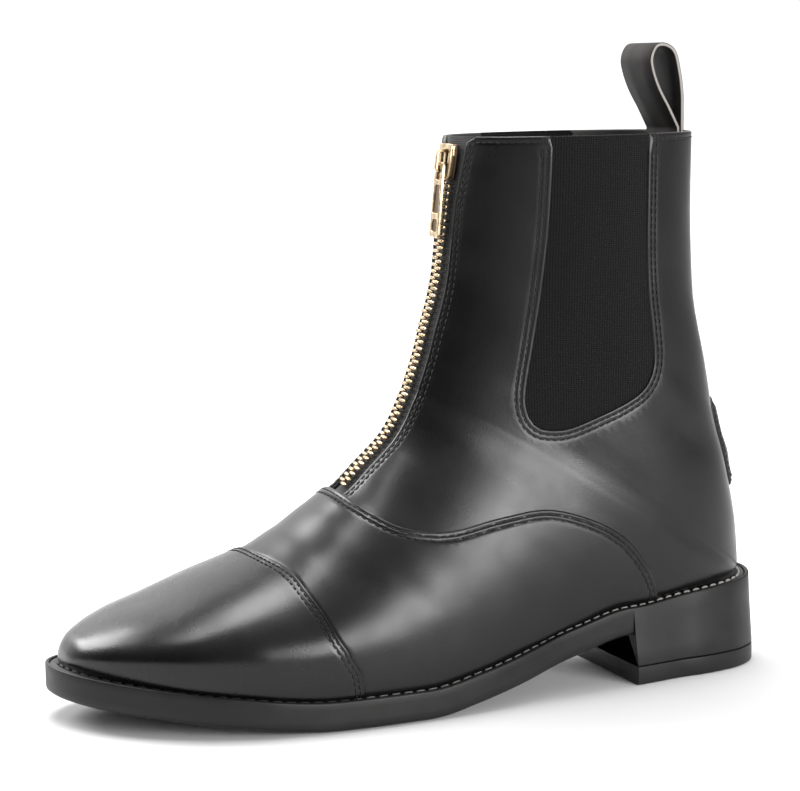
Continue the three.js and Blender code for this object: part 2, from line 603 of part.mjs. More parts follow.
// Outline of the slot beside the zip, moved out by margin on each side; above carries it on
// past the collar, whose front corners it rounds.
function slotRows(margin, above) {
  const widening = zipLength - 2.4 * sliderLength;
  const corner = zipLength - cornerRadius;
  const rows = [];
  const steps = 20;
  for (let i = 0; i <= steps; i++) {
    const length = (zipLength * i) / steps - margin * (1 - i / steps);
    const t = THREE.MathUtils.clamp((length - widening) / (zipLength - widening), 0, 1);
    const c = THREE.MathUtils.clamp((length - corner) / cornerRadius, 0, 1);
    const rounding = cornerRadius * (1 - Math.sqrt(1 - c * c));
    rows.push({ length, half: (zipSlot + (zipSlotTop - zipSlot) * t * t) / 2 + rounding + margin });
  }
  if (above > 0) rows.push({ ...rows[steps], length: zipLength + above });
  return rows;
}

// The upper: one hollow wall, open at the collar, along the zip, in the gores and underneath.
function makeUpper() {
  let solid = layer(0, -wall);
  solid = solid.subtract(ridgeRibbon(slotRows(0, cutReach), -2 * cutReach, cutReach));
  for (const side of [1, -1]) solid = solid.subtract(gorePrism(goreOutline, side));
  return meshOf("upper", solid, "leather");
}

function makeVamp() {
  const solid = layer(gap + overlayThickness, gap).intersect(vampPrism()).subtract(capPrism(gap));
  return meshOf("vamp", solid, "leather");
}

function makeToeCap() {
  const solid = layer(gap + overlayThickness + capStep, gap).intersect(capPrism(0));
  return meshOf("toe_cap", solid, "capLeather");
}

function makeGore(name, side) {
  const points = shrunk(goreOutline, gap);
  const solid = layer(-goreSink, -goreSink - goreThickness).intersect(gorePrism(points, side));
  return meshOf(name, solid, "elastic");
}

// Band worn at the back of the heel, which keeps a spur from slipping.
function makeSpurRest() {
  const solid = layer(gap + spurRestProud, gap);
  const half = spurRestWidth / 2;
  const top = spurRestFoot + spurRestHeight;
  const reach = shaftDepth / 3;
  const points = [[-cutReach, spurRestFoot], [-cutReach, top], [reach, top], [reach, spurRestFoot]];
  return meshOf("spur_rest", solid.intersect(sidePrism(points, -half, half)), "leather");
}

// A closed ring of the sole's outline as { run, x } points with a height for each.
const solePlaces = () => {
  const breast = turnOf(heelLength);
  const flareAt = (turn) => backFlare + ((heelFlare - backFlare) * turn) / breast;
  const places = [];
  const heelSteps = Math.round(outlineSteps * breast);
  for (let i = 0; i <= heelSteps; i++) {
    const turn = (breast * i) / heelSteps;
    places.push({ turn, heel: true, flare: flareAt(turn) });
  }
  const frontSteps = outlineSteps - heelSteps;
  for (let i = 0; i <= frontSteps; i++) {
    places.push({ turn: breast + ((1 - breast) * i) / frontSteps, heel: false, flare: 0 });
  }
  return places;
};

function ringAt(places, insetOf, heightOf) {
  const pointOn = (place, side) => {
    const p = edgePoint(place.turn, side, insetOf(place));
    return new THREE.Vector3(p.x, soleLength / 2 - p.run, heightOf(place, p.run));
  };
  return { outer: places.map((p) => pointOn(p, 1)), inner: places.map((p) => pointOn(p, -1)) };
}

// A solid between rings listed from the lowest to the highest, closed across both ends.
function stackedRings(rings) {
  const out = [];
  const count = rings[0].outer.length;
  for (let k = 0; k < rings.length - 1; k++) {
    const [a, b] = [rings[k], rings[k + 1]];
    for (let i = 0; i < count - 1; i++) {
      quad(out, a.outer[i], b.outer[i], b.outer[i + 1], a.outer[i + 1]);
      quad(out, a.inner[i + 1], b.inner[i + 1], b.inner[i], a.inner[i]);
    }
    quad(out, a.outer[count - 1], b.outer[count - 1], b.inner[count - 1], a.inner[count - 1]);
  }
  const low = rings[0];
  const high = rings[rings.length - 1];
  for (let i = 0; i < count - 1; i++) {
    quad(out, low.inner[i], low.outer[i], low.outer[i + 1], low.inner[i + 1]);
    quad(out, high.inner[i + 1], high.outer[i + 1], high.outer[i], high.inner[i]);
  }
  return solidFrom(out);
}

const bandTop = topLiftThickness + gap;

// Sole and heel block, moulded as one, with a rim and a channel for the welt.
function makeOutsole() {
  const places = solePlaces();
  const groove = 2 * rimBevel;
  const treadInset = (p) => (p.heel ? groove - p.flare : bevelWidth);
  const treadHeight = (p, run) => (p.heel ? bandTop : treadAt(run));
  const solid = stackedRings([
    ringAt(places, treadInset, treadHeight),
    ringAt(places, (p) => -p.flare, (p, run) => (p.heel ? bandTop + groove : underside(run))),
    ringAt(places, () => 0, (p, run) => rimTop(run) - rimBevel),
    ringAt(places, () => rimBevel, (p, run) => rimTop(run)),
    ringAt(places, () => rimWidth, (p, run) => rimTop(run)),
    ringAt(places, () => rimWidth, (p, run) => channelFloor(run)),
  ]);
  return meshOf("outsole", solid, "rubber");
}

// Replaceable bottom layer of the heel.
function makeTopLift() {
  const places = solePlaces().filter((place) => place.heel);
  const edge = 2 * rimBevel;
  const solid = stackedRings([
    ringAt(places, (p) => edge - p.flare, () => 0),
    ringAt(places, (p) => -p.flare, () => edge),
    ringAt(places, (p) => -p.flare, () => topLiftThickness - edge / 2),
    ringAt(places, (p) => edge / 2 - p.flare, () => topLiftThickness),
  ]);
  return meshOf("heel_top_lift", solid, "rubber");
}

// Stitched strip lying in the sole's channel, round the foot of the upper.
function makeWelt() {
  const places = solePlaces();
  const rim = () => rimWidth + gap;
  const inner = (p) => ledgeAt(runOf(p.turn)) + wall - gap;
  const ring = (insetOf, heightOf) => ringAt(places, insetOf, (p, run) => heightOf(run));
  const top = (run) => rimTop(run) - 1.5 * gap;
  const bottom = (run) => channelFloor(run) + gap;
  const whole = stackedRings([ring(rim, bottom), ring(rim, top)]);
  const hole = stackedRings([
    ring(inner, (run) => bottom(run) - cutReach),
    ring(inner, (run) => top(run) + cutReach),
  ]);
  return meshOf("welt", whole.subtract(hole), "welt");
}

// Footbed inside the upper, resting on the sole.
function makeInsole() {
  const places = solePlaces();
  const insetOf = (p) => ledgeAt(runOf(p.turn)) + wall + 4 * gap;
  const bottom = (run) => channelFloor(run) + gap;
  const ring = (extra, rise) => ringAt(places, (p) => insetOf(p) + extra, (p, run) => bottom(run) + rise);
  const solid = stackedRings([ring(0, 0), ring(0, insoleThickness - gap), ring(gap, insoleThickness)]);
  return meshOf("insole", solid, "lining");
}

function makeZipTape() {
  const solid = layer(-wall - gap, -wall - gap - tapeThickness);
  const rows = slotRows(0, 0).map(({ length, half }) => {
    return { length, half: Math.min(half, zipSlotTop / 2) + tapeMargin };
  });
  const region = ridgeRibbon(rows, -cutReach, cutReach);
  return meshOf("zip_tape", solid.intersect(region), "tape");
}

const chainLift = 2 * gap - wall; // underside of the teeth, just clear of the tape
const sliderMiddle = zipLength - sliderLength / 2 - sliderDrop;

// Two rows of meshed teeth, as a ribbon whose edges step in and out at each tooth.
function makeZipChain() {
  const start = 2.5 * toothPitch;
  const end = sliderMiddle - sliderLength / 2 - gap;
  const rows = [];
  const steps = Math.floor((end - start) / (toothPitch / 2));
  const toothStep = 0.7;
  for (let i = 0; i <= steps; i++) {
    rows.push({ length: start + (i * toothPitch) / 2, half: chainWidth / 2 - (i % 2) * toothStep });
  }
  return meshOf("zip_chain", ridgeRibbon(rows, chainLift, chainLift + chainHeight, toothStep), "brass");
}

// A flat shape in x and z, given thickness outwards from the boot.
function frontPlate(shape, near, thickness) {
  const options = { depth: thickness, bevelEnabled: false, curveSegments: 5 };
  const geometry = new THREE.ExtrudeGeometry(shape, options);
  geometry.rotateX(Math.PI / 2);
  geometry.translate(0, -near, 0);
  return solidOf(geometry);
}

function roundedShape(points, radius) {
  const shape = new THREE.Shape();
  points.forEach(([x, z], i) => {
    const before = points[(i + points.length - 1) % points.length];
    const after = points[(i + 1) % points.length];
    const towards = (to) => {
      const length = Math.hypot(to[0] - x, to[1] - z);
      return [x + ((to[0] - x) * radius) / length, z + ((to[1] - z) * radius) / length];
    };
    const [inX, inZ] = towards(before);
    const [outX, outZ] = towards(after);
    if (i === 0) shape.moveTo(inX, inZ);
    else shape.lineTo(inX, inZ);
    shape.quadraticCurveTo(x, z, outX, outZ);
  });
  shape.closePath();
  return shape;
}

// Slider with the bridge that its pull tab hangs from; z runs up the zip, -y outwards.
function makeSlider() {
  const half = sliderWidth / 2;
  const top = sliderLength / 2;
  const foot = chainWidth / 2 + 1;
  const shoulder = top * 0.3;
  const right = [[foot, -top], [half, shoulder], [half, top]];
  const left = [[-half, top], [-half, shoulder], [-foot, -top]];
  const body = roundedShape([...right, ...left], 1.2);
  const plate = frontPlate(body, 0, sliderThickness);
  const arch = new THREE.Shape();
  const reach = bridgeLength / 2;
  arch.moveTo(-reach, -1);
  arch.lineTo(-reach, bridgeRise - bridgeBar);
  arch.quadraticCurveTo(-reach, bridgeRise, bridgeBar - reach, bridgeRise);
  arch.lineTo(reach - bridgeBar, bridgeRise);
  arch.quadraticCurveTo(reach, bridgeRise, reach, bridgeRise - bridgeBar);
  arch.lineTo(reach, -1);
  arch.closePath();
  const inner = reach - bridgeBar - 0.3;
  const hole = new THREE.Path();
  hole.moveTo(-inner, 0);
  hole.lineTo(inner, 0);
  hole.lineTo(inner, bridgeRise - bridgeBar);
  hole.lineTo(-inner, bridgeRise - bridgeBar);
  hole.closePath();
  arch.holes.push(hole);
  const options = { depth: bridgeWidth, bevelEnabled: false, curveSegments: 4 };
  const geometry = new THREE.ExtrudeGeometry(arch, options);
  geometry.translate(0, 0, -bridgeWidth / 2);
  const turned = new THREE.Matrix4().makeBasis(
    new THREE.Vector3(0, 0, 1),
    new THREE.Vector3(0, -1, 0),
    new THREE.Vector3(1, 0, 0),
  );
  geometry.applyMatrix4(turned);
  geometry.translate(0, -sliderThickness, 0);
  return meshOf("zip_slider", plate.add(solidOf(geometry)), "brass");
}

// Pull tab, hanging from the bar at its top, whose middle is the hinge.
function makePullTab() {
  const half = tabWidth / 2;
  const bar = tabThickness / 2;
  const neck = half * 0.86;
  const outer = roundedShape([[-half, -tabLength], [half, -tabLength], [neck, bar], [-neck, bar]], 1.3);
  const windowHalf = bridgeWidth / 2 + 2 * gap;
  const low = -bar - tabWindow;
  const opening = [[-windowHalf, -bar], [-windowHalf, low], [windowHalf, low], [windowHalf, -bar]];
  outer.holes.push(new THREE.Path(roundedShape(opening, 0.4).getPoints(3)));
  return meshOf("zip_pull_tab", frontPlate(outer, -bar, tabThickness), "brass");
}

// Strap loop sewn inside the back of the collar, standing up as a teardrop.
// across and up are shares of the loop's depth and height from where its legs meet.
const loopRows = [
  { across: 0.03, up: 0.04 },
  { across: 0.37, up: 0.27 },
  { across: 0.67, up: 0.48 },
  { across: 0.87, up: 0.68 },
  { across: 0.93, up: 0.84 },
  { across: 0.76, up: 0.975 },
  { across: 0.45, up: 0.985 },
  { across: 0.17, up: 0.9 },
  { across: 0.02, up: 0.68 },
  { across: -0.06, up: 0.45 },
  { across: -0.07, up: 0.25 },
  { across: -0.03, up: 0.04 },
];

// Foremost run of the inside of the back, over the height and width of the loop's tail.
function tailSeat(tailFoot) {
  let seatRun = 0;
  const stationStep = 0.25;
  const angleStep = 0.01;
  for (let station = collarStation - 2; station <= collarStation; station += stationStep) {
    let angle = Math.PI;
    while (upperPoint(station, 1, angle, -wall).x < loopWidth / 2) angle -= angleStep;
    const edge = upperPoint(station, 1, angle, -wall);
    if (edge.z > tailFoot) seatRun = Math.max(seatRun, soleLength / 2 - edge.y);
  }
  return seatRun;
}

function makePullLoop() {
  const tailFoot = shaftHeight - loopTail;
  const foot = tailSeat(tailFoot) + 1.5 * gap + strapThickness;
  const placed = loopRows.map((row) => [foot + row.across * loopDepth, shaftHeight + row.up * loopHeight]);
  const line = smooth(placed, 34);
  const offset = (by) => line.map((point, i) => {
    const a = line[Math.max(i - 1, 0)];
    const b = line[Math.min(i + 1, line.length - 1)];
    const length = Math.hypot(b[0] - a[0], b[1] - a[1]);
    return [point[0] + (by * (b[1] - a[1])) / length, point[1] - (by * (b[0] - a[0])) / length];
  });
  const skin = offset(strapThickness / 2);
  const inside = offset(-strapThickness / 2);
  const tail = [[foot - strapThickness, tailFoot], [foot + strapThickness, tailFoot]];
  const whole = sidePrism([...skin, ...tail].reverse(), -loopWidth / 2, loopWidth / 2);
  const hole = sidePrism(inside.slice(2, -2).reverse(), -loopWidth, loopWidth);
  return meshOf("pull_loop", whole.subtract(hole), "strap");
}

const boot = new THREE.Group();
boot.add(makeUpper(), makeVamp(), makeToeCap(), makeSpurRest());
boot.add(makeGore("elastic_gore_outer", 1), makeGore("elastic_gore_inner", -1));
boot.add(makeOutsole(), makeTopLift(), makeWelt(), makeInsole(), makePullLoop());
boot.add(makeZipTape(), makeZipChain());

// The slider's own frame sits on the face of the tape and leans back with the shaft.
const sliderStation = stationAt(sliderMiddle);
const sliderFoot = liftedPoint(ridgePoint, sliderStation, chainLift, 0, 1);
const lower = ridgePoint(stationAt(sliderMiddle - sliderLength / 2));
const upper = ridgePoint(stationAt(sliderMiddle + sliderLength / 2));
const zipGroup = new THREE.Group();
const sliderX = section.ridgeX(sliderStation) * ballWidth;
zipGroup.position.set(sliderX, soleLength / 2 - sliderFoot.run, sliderFoot.z);
zipGroup.rotation.x = -Math.atan2(lower.run - upper.run, upper.z - lower.z);
const tabGroup = new THREE.Group();
const pivotOut = sliderThickness + (bridgeRise - bridgeBar) / 2;
tabGroup.position.set(0, -pivotOut, -1);
const tabDrop = pivotOut - (chainHeight + 4 * gap + tabThickness / 2);
tabGroup.rotation.x = Math.asin(tabDrop / tabLength);
tabGroup.add(makePullTab());
zipGroup.add(makeSlider(), tabGroup);
boot.add(zipGroup);

// The origin is under the middle of the whole boot.
const bounds = new THREE.Box3().setFromObject(boot);
boot.position.set(-(bounds.min.x + bounds.max.x) / 2, -(bounds.min.y + bounds.max.y) / 2, -bounds.min.z);

export default boot;
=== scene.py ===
"""A zip-front paddock boot for the left foot, dressed over its solids, on a pale studio floor.

Pieces are made in millimetres: x to the outer side, run forward from the back of the heel, z up.
"""

import math

import bmesh
import bpy
import numpy as np
from mathutils import Matrix, Vector


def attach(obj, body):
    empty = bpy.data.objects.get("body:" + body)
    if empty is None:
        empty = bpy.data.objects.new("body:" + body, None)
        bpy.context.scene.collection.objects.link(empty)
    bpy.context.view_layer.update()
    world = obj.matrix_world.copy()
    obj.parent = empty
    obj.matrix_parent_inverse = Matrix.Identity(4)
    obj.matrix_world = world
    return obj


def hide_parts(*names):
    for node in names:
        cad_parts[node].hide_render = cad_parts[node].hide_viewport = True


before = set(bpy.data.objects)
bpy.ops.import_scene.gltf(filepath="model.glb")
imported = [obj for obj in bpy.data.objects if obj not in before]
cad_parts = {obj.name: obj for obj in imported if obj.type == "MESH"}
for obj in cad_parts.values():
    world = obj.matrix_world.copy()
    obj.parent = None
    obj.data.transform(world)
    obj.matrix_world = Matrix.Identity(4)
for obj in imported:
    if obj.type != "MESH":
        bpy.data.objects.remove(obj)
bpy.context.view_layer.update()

# Sizes in millimetres, the same as the solids'
MM = 0.001
SOLE, BALL, SEAT = 296.0, 102.0, 61.0
SHAFT_HEIGHT, SHAFT_DEPTH, SHAFT_WIDTH = 220.0, 101.7, 77.4
INSTEP_RISE = 71.5
HEEL_HEIGHT, BREAST_HEIGHT, HEEL_LENGTH = 27.5, 21.6, 67.7
HEEL_FLARE, BACK_FLARE, TOP_LIFT = 3.4, 0.8, 7.6
SOLE_EDGE, TOE_SPRING, EDGE_BEVEL, BEVEL_WIDTH = 9.8, 10.6, 2.1, 4.0
WELT_LEDGE, TOE_LEDGE, RIM_WIDTH, WELT_THICKNESS = 5.2, 2.0, 1.6, 2.0
WALL, OVERLAY, CAP_STEP, GAP = 2.0, 1.1, 0.8, 0.3
ZIP_SLOT, ZIP_TOP, CORNER = 17.0, 25.0, 4.5
TAPE_MARGIN, TAPE = 3.5, 0.9
CHAIN_HEIGHT, PITCH = 2.2, 2.7
SLIDER_WIDTH, SLIDER_LENGTH, SLIDER_THICKNESS = 11.6, 14.0, 3.2
BRIDGE_WIDTH, BRIDGE_LENGTH, BRIDGE_RISE, BRIDGE_BAR = 2.0, 9.0, 3.6, 1.1
TAB_LENGTH, TAB_WIDTH, TAB_THICKNESS, TAB_WINDOW = 29.0, 8.6, 1.4, 5.6
SPUR_FOOT, SPUR_HEIGHT, SPUR_WIDTH, SPUR_PROUD = 72.5, 38.0, 19.0, 4.0
LOOP_WIDTH, LOOP_HEIGHT, LOOP_DEPTH, STRAP, LOOP_TAIL = 26.0, 34.5, 13.6, 1.7, 22.0
PLACE = np.array([-0.7648, -0.4, 0.0])  # the boot's place in the frame
CELL = 2.1  # of the surface's grid

# Sections of the upper from the toe tip to the collar, as shares of the boot's sizes
SECTION_KEYS = "ridge depth foot shaft base back climb follow outer inner ridgeX widest round full".split()
SECTION_ROWS = [
    (1, 0, 0, 0, 1, 0, 0, 1, 0, 0, -0.152, 0.6, 0.9, 1),
    (0.9972, 0, 0.0694, 0, 0.9945, 0, 0, 1, 0.01, 0.01, -0.15, 0.6, 0.86, 1),
    (0.988, 0, 0.1427, 0, 0.98, 0, 0, 1, 0.018, 0.018, -0.147, 0.6, 0.82, 1),
    (0.9687, 0, 0.2096, 0, 0.953, 0, 0, 1, 0.024, 0.024, -0.142, 0.6, 0.8, 1),
    (0.933, 0, 0.304, 0, 0.91, 0, 0, 1, 0.026, 0.026, -0.132, 0.61, 0.82, 1),
    (0.8803, 0, 0.4107, 0, 0.85, 0, 0, 1, 0.026, 0.026, -0.117, 0.63, 0.88, 1),
    (0.8287, 0, 0.5185, 0, 0.788, 0, 0, 1, 0.026, 0.026, -0.1, 0.66, 0.95, 1),
    (0.7827, 0, 0.6022, 0, 0.726, 0, 0, 1, 0.028, 0.028, -0.086, 0.68, 1, 1),
    (0.741, 0, 0.6787, 0, 0.662, 0, 0, 1, 0.03, 0.03, -0.072, 0.7, 1.04, 1),
    (0.702, 0, 0.7734, 0, 0.59, 0, 0, 1, 0.035, 0.035, -0.06, 0.7, 0.98, 1),
    (0.6535, 0.02, 0.8691, 0.012, 0.515, 0, 0, 1, 0.045, 0.05, -0.046, 0.69, 0.92, 1),
    (0.5955, 0.08, 0.9389, 0.032, 0.435, 0, 0, 1, 0.06, 0.08, -0.034, 0.66, 0.88, 1),
    (0.5268, 0.18, 0.9752, 0.083, 0.335, 0, 0, 0.85, 0.167, 0.182, -0.026, 0.62, 0.87, 1.1),
    (0.4575, 0.3, 1, 0.127, 0.237, 0, 0, 0.65, 0.243, 0.249, -0.021, 0.58, 0.87, 1.2),
    (0.393, 0.42, 1, 0.195, 0.149, 0, 0, 0.45, 0.3165, 0.3165, -0.018, 0.55, 0.87, 1.3),
    (0.3527, 0.5, 1, 0.25, 0.079, 0, 0, 0.28, 0.371, 0.371, -0.017, 0.53, 0.87, 1.35),
    (0.3298, 0.545, 1, 0.283, 0.03, 0, 0, 0.12, 0.4175, 0.4175, -0.017, 0.52, 0.87, 1.3),
    (0.3135, 0.58, 1, 0.308, 0.0055, 0, 0, 0.03, 0.4365, 0.4365, -0.017, 0.51, 0.87, 1.1),
    (0.2784, 0.64, 1, 0.392, 0, 0, 0, 0, 0.4367, 0.4367, -0.017, 0.5, 0.87, 0.95),
    (0.2494, 0.7, 1, 0.458, 0, 0, 0.02, 0, 0.4367, 0.4367, -0.017, 0.5, 0.9, 0.9),
    (0.2143, 0.77, 1, 0.524, 0, 0.0001, 0.08, 0, 0.438, 0.438, -0.017, 0.5, 0.89, 0.86),
    (0.1832, 0.83, 1, 0.605, 0, 0.0089, 0.18, 0, 0.4405, 0.4405, -0.017, 0.5, 0.88, 0.84),
    (0.1573, 0.88, 1, 0.729, 0, 0.0359, 0.31, 0, 0.446, 0.446, -0.017, 0.5, 0.87, 0.83),
    (0.1354, 0.925, 1, 0.824, 0, 0.0552, 0.47, 0, 0.457, 0.457, -0.017, 0.5, 0.86, 0.83),
    (0.1171, 0.96, 1, 0.901, 0, 0.0771, 0.65, 0, 0.474, 0.474, -0.017, 0.5, 0.86, 0.84),
    (0.1048, 0.985, 1, 0.956, 0, 0.0817, 0.83, 0, 0.491, 0.491, -0.017, 0.5, 0.86, 0.85),
    (0.099, 1, 1, 1, 0, 0.0797, 1, 0, 0.5, 0.5, -0.017, 0.5, 0.86, 0.86),
]
OUTLINE_KEYS = "run outerHeel outerBall innerHeel innerBall".split()
OUTLINE_ROWS = [
    (0, 0, 0, 0, 0), (0.0085, 0.19, 0, 0.19, 0), (0.03, 0.345, 0, 0.345, 0), (0.075, 0.46, 0, 0.455, 0),
    (0.135, 0.5, 0, 0.49, 0), (0.22, 0.4, 0.092, 0.43, 0.05), (0.34, 0.2, 0.245, 0.27, 0.168),
    (0.42, 0.08, 0.385, 0.12, 0.31), (0.53, 0, 0.492, 0, 0.445), (0.63, 0, 0.507, 0, 0.492),
    (0.75, 0, 0.478, 0, 0.488), (0.832, 0, 0.405, 0, 0.455), (0.9, 0, 0.291, 0, 0.421),
    (0.953, 0, 0.157, 0, 0.354), (0.987, 0, 0.012, 0, 0.262), (1, 0, -0.152, 0, 0.152),
]
HEIGHT_KEYS = "run heel arch toe".split()
HEIGHT_ROWS = [
    (0, 1, 0, 0), (0.115, 0.56, 0.44, 0), (0.23, 0, 1, 0), (0.312, 0, 0.742, 0), (0.39, 0, 0.445, 0),
    (0.468, 0, 0.19, 0), (0.55, 0, 0, 0), (0.675, 0, 0, 0), (0.805, 0, 0, 0.36), (0.91, 0, 0, 0.71),
    (1, 0, 0, 1),
]
GORE_ROWS = [  # across, up
    (0.723, 1), (0.7335, 0.837), (0.756, 0.727), (0.785, 0.636), (0.818, 0.55), (0.815, 0.512),
    (0.785, 0.489), (0.735, 0.4805), (0.65, 0.4815), (0.525, 0.501), (0.409, 0.522), (0.335, 0.543),
    (0.297, 0.573), (0.287, 0.607), (0.3, 0.662), (0.3166, 0.725), (0.3265, 0.83), (0.3265, 1),
]
VAMP_ROWS = [  # run, up
    (0.613, 1), (0.599, 0.945), (0.5625, 0.868), (0.501, 0.837), (0.4267, 0.88), (0.349, 0.894),
    (0.2645, 0.779), (0.2166, 0.622), (0.1865, 0.42), (0.183, 0.3),
]
LOOP_ROWS = [  # across, up
    (0.03, 0.04), (0.37, 0.27), (0.67, 0.48), (0.87, 0.68), (0.93, 0.84), (0.76, 0.975), (0.45, 0.985),
    (0.17, 0.9), (0.02, 0.68), (-0.06, 0.45), (-0.07, 0.25), (-0.03, 0.04),
]
# Rear edge of the toe cap: turn from the ridge, and run as a share of the sole
CAP_ROWS = [
    (-3.142, 0.690), (-2.4, 0.694), (-1.9, 0.701), (-1.4, 0.713), (-1.0, 0.723), (-0.6, 0.729),
    (-0.27, 0.7285), (0.10, 0.7253), (0.31, 0.7182), (0.48, 0.7089), (0.64, 0.7014), (0.84, 0.695),
    (1.02, 0.6871), (1.18, 0.6796), (1.36, 0.6702), (1.49, 0.6609), (1.69, 0.6525), (1.99, 0.6444),
    (2.47, 0.6408), (3.142, 0.638),
]
# Soft creases: side, then run and height of both ends as shares of sole and shaft, width and height in mm
FOLDS = [
    (1, 0.640, 0.270, 0.560, 0.130, 6.0, -0.20),
    (1, 0.615, 0.300, 0.530, 0.170, 5.0, 0.14),
    (1, 0.590, 0.310, 0.505, 0.200, 6.0, -0.16),
    (-1, 0.630, 0.270, 0.560, 0.130, 6.0, -0.20),
    (-1, 0.600, 0.300, 0.520, 0.170, 6.0, 0.14),
    (1, 0.500, 0.480, 0.330, 0.420, 12.0, -0.7),
    (1, 0.470, 0.560, 0.300, 0.520, 12.0, 0.4),
    (-1, 0.500, 0.480, 0.330, 0.420, 12.0, -0.7),
    (1, 0.330, 0.640, 0.300, 0.860, 8.0, 0.45),
    (1, 0.180, 0.480, 0.060, 0.420, 8.0, -0.70),
    (-1, 0.180, 0.480, 0.060, 0.420, 8.0, -0.70),
]


def curve(xs, ys):
    """Smooth curve through points that never overshoots them."""
    xs, ys = np.array(xs, float), np.array(ys, float)
    step = np.diff(xs)
    slope = np.diff(ys) / step
    m = np.concatenate([slope[:1], np.zeros(len(xs) - 2), slope[-1:]])
    for i in range(1, len(xs) - 1):
        if slope[i - 1] * slope[i] > 0:
            w1, w2 = 2 * step[i] + step[i - 1], step[i] + 2 * step[i - 1]
            m[i] = (w1 + w2) / (w1 / slope[i - 1] + w2 / slope[i])

    def at(x):
        x = np.clip(x, xs[0], xs[-1])
        i = np.clip(np.searchsorted(xs, x) - 1, 0, len(xs) - 2)
        h = step[i]
        t = (x - xs[i]) / h
        a = ys[i] * (1 + 2 * t) * (1 - t) ** 2 + ys[i + 1] * t * t * (3 - 2 * t)
        return a + h * (m[i] * t * (1 - t) ** 2 - m[i + 1] * t * t * (1 - t))

    return at


def columns(keys, rows, xs):
    return {key: curve(xs, [row[k] for row in rows]) for k, key in enumerate(keys)}


def turn_of(run):
    return np.arccos(1 - 2 * np.clip(np.asarray(run) / SOLE, 0, 1)) / math.pi


def run_of(turn):
    return SOLE * (1 - np.cos(math.pi * np.asarray(turn))) / 2


outline = columns(OUTLINE_KEYS, OUTLINE_ROWS, [float(turn_of(row[0] * SOLE)) for row in OUTLINE_ROWS])
height = columns(HEIGHT_KEYS, HEIGHT_ROWS, [row[0] for row in HEIGHT_ROWS])
section = columns(SECTION_KEYS, SECTION_ROWS, range(len(SECTION_ROWS)))
section["turn"] = curve(range(len(SECTION_ROWS)), [float(turn_of(row[4] * SOLE)) for row in SECTION_ROWS])
COLLAR, HEEL, THROAT = len(SECTION_ROWS) - 1, 18, 11


def half_width(turn, side):
    outer = outline["outerHeel"](turn) * SEAT + outline["outerBall"](turn) * BALL
    inner = outline["innerHeel"](turn) * SEAT + outline["innerBall"](turn) * BALL
    return np.where(np.asarray(side) > 0, outer, -inner)


def edge_point(turn, side, inset):
    """x and run of the sole's edge, moved in by inset."""
    turn = np.asarray(turn, float)
    x, run = half_width(turn, side), run_of(turn)
    before, after = np.maximum(turn - 0.004, 0), np.minimum(turn + 0.004, 1)
    along_run = run_of(after) - run_of(before)
    along_x = half_width(after, side) - half_width(before, side)
    length = np.hypot(along_run, along_x) * side
    at_heel, at_toe = turn <= 0, turn >= 1
    new_run = np.where(at_heel, inset, np.where(at_toe, SOLE - inset, run + inset * along_x / length))
    return np.where(at_heel | at_toe, x, x - inset * along_run / length), new_run


def underside(run):
    at = np.asarray(run) / SOLE
    heel = height["heel"](at) * (HEEL_HEIGHT - EDGE_BEVEL)
    arch = height["arch"](at) * (BREAST_HEIGHT - EDGE_BEVEL)
    return EDGE_BEVEL + heel + arch + height["toe"](at) * TOE_SPRING


def smoothstep(x, a, b):
    t = np.clip((np.asarray(x, float) - a) / (b - a), 0, 1)
    return t * t * (3 - 2 * t)


def ledge_at(run):
    return WELT_LEDGE + TOE_LEDGE * smoothstep(np.asarray(run) / SOLE, 0.86, 1)


def rim_top(run):
    return underside(run) + SOLE_EDGE


def channel_floor(run):
    return rim_top(run) - WELT_THICKNESS - 2 * GAP


FOOT_LENGTH = SOLE - float(ledge_at(SOLE))


def ridge_run(station):
    return section["ridge"](station) * FOOT_LENGTH + section["depth"](station) * SHAFT_DEPTH


THROAT_HEIGHT = float(rim_top(ridge_run(THROAT))) + INSTEP_RISE


def ridge_point(station):
    run, foot = ridge_run(station), section["foot"](station)
    low = rim_top(run) * (1 - foot) + THROAT_HEIGHT * foot
    return run, low + section["shaft"](station) * (SHAFT_HEIGHT - THROAT_HEIGHT)


def back_point(station):
    heel_seat = float(rim_top(0.0))
    rise = section["climb"](station) * (SHAFT_HEIGHT - heel_seat)
    return WELT_LEDGE + section["back"](station) * SOLE, heel_seat + rise


def lifted(line, station, lift, first, outward):
    run, z = line(station)
    run_a, z_a = line(np.maximum(station - 0.02, first))
    run_b, z_b = line(np.minimum(station + 0.02, COLLAR))
    length = np.maximum(np.hypot(run_b - run_a, z_b - z_a), 1e-9) * outward
    return run + lift * (z_b - z_a) / length, z - lift * (run_b - run_a) / length


def base_point(station, side, lift):
    turn = section["turn"](station)
    x, run = edge_point(turn, side, ledge_at(run_of(turn)) - lift)
    z = rim_top(run)
    back_run, back_z = lifted(back_point, station, lift, HEEL, -1)
    above = station > HEEL
    return np.where(above, 0, x), np.where(above, back_run, run), np.where(above, back_z, z)


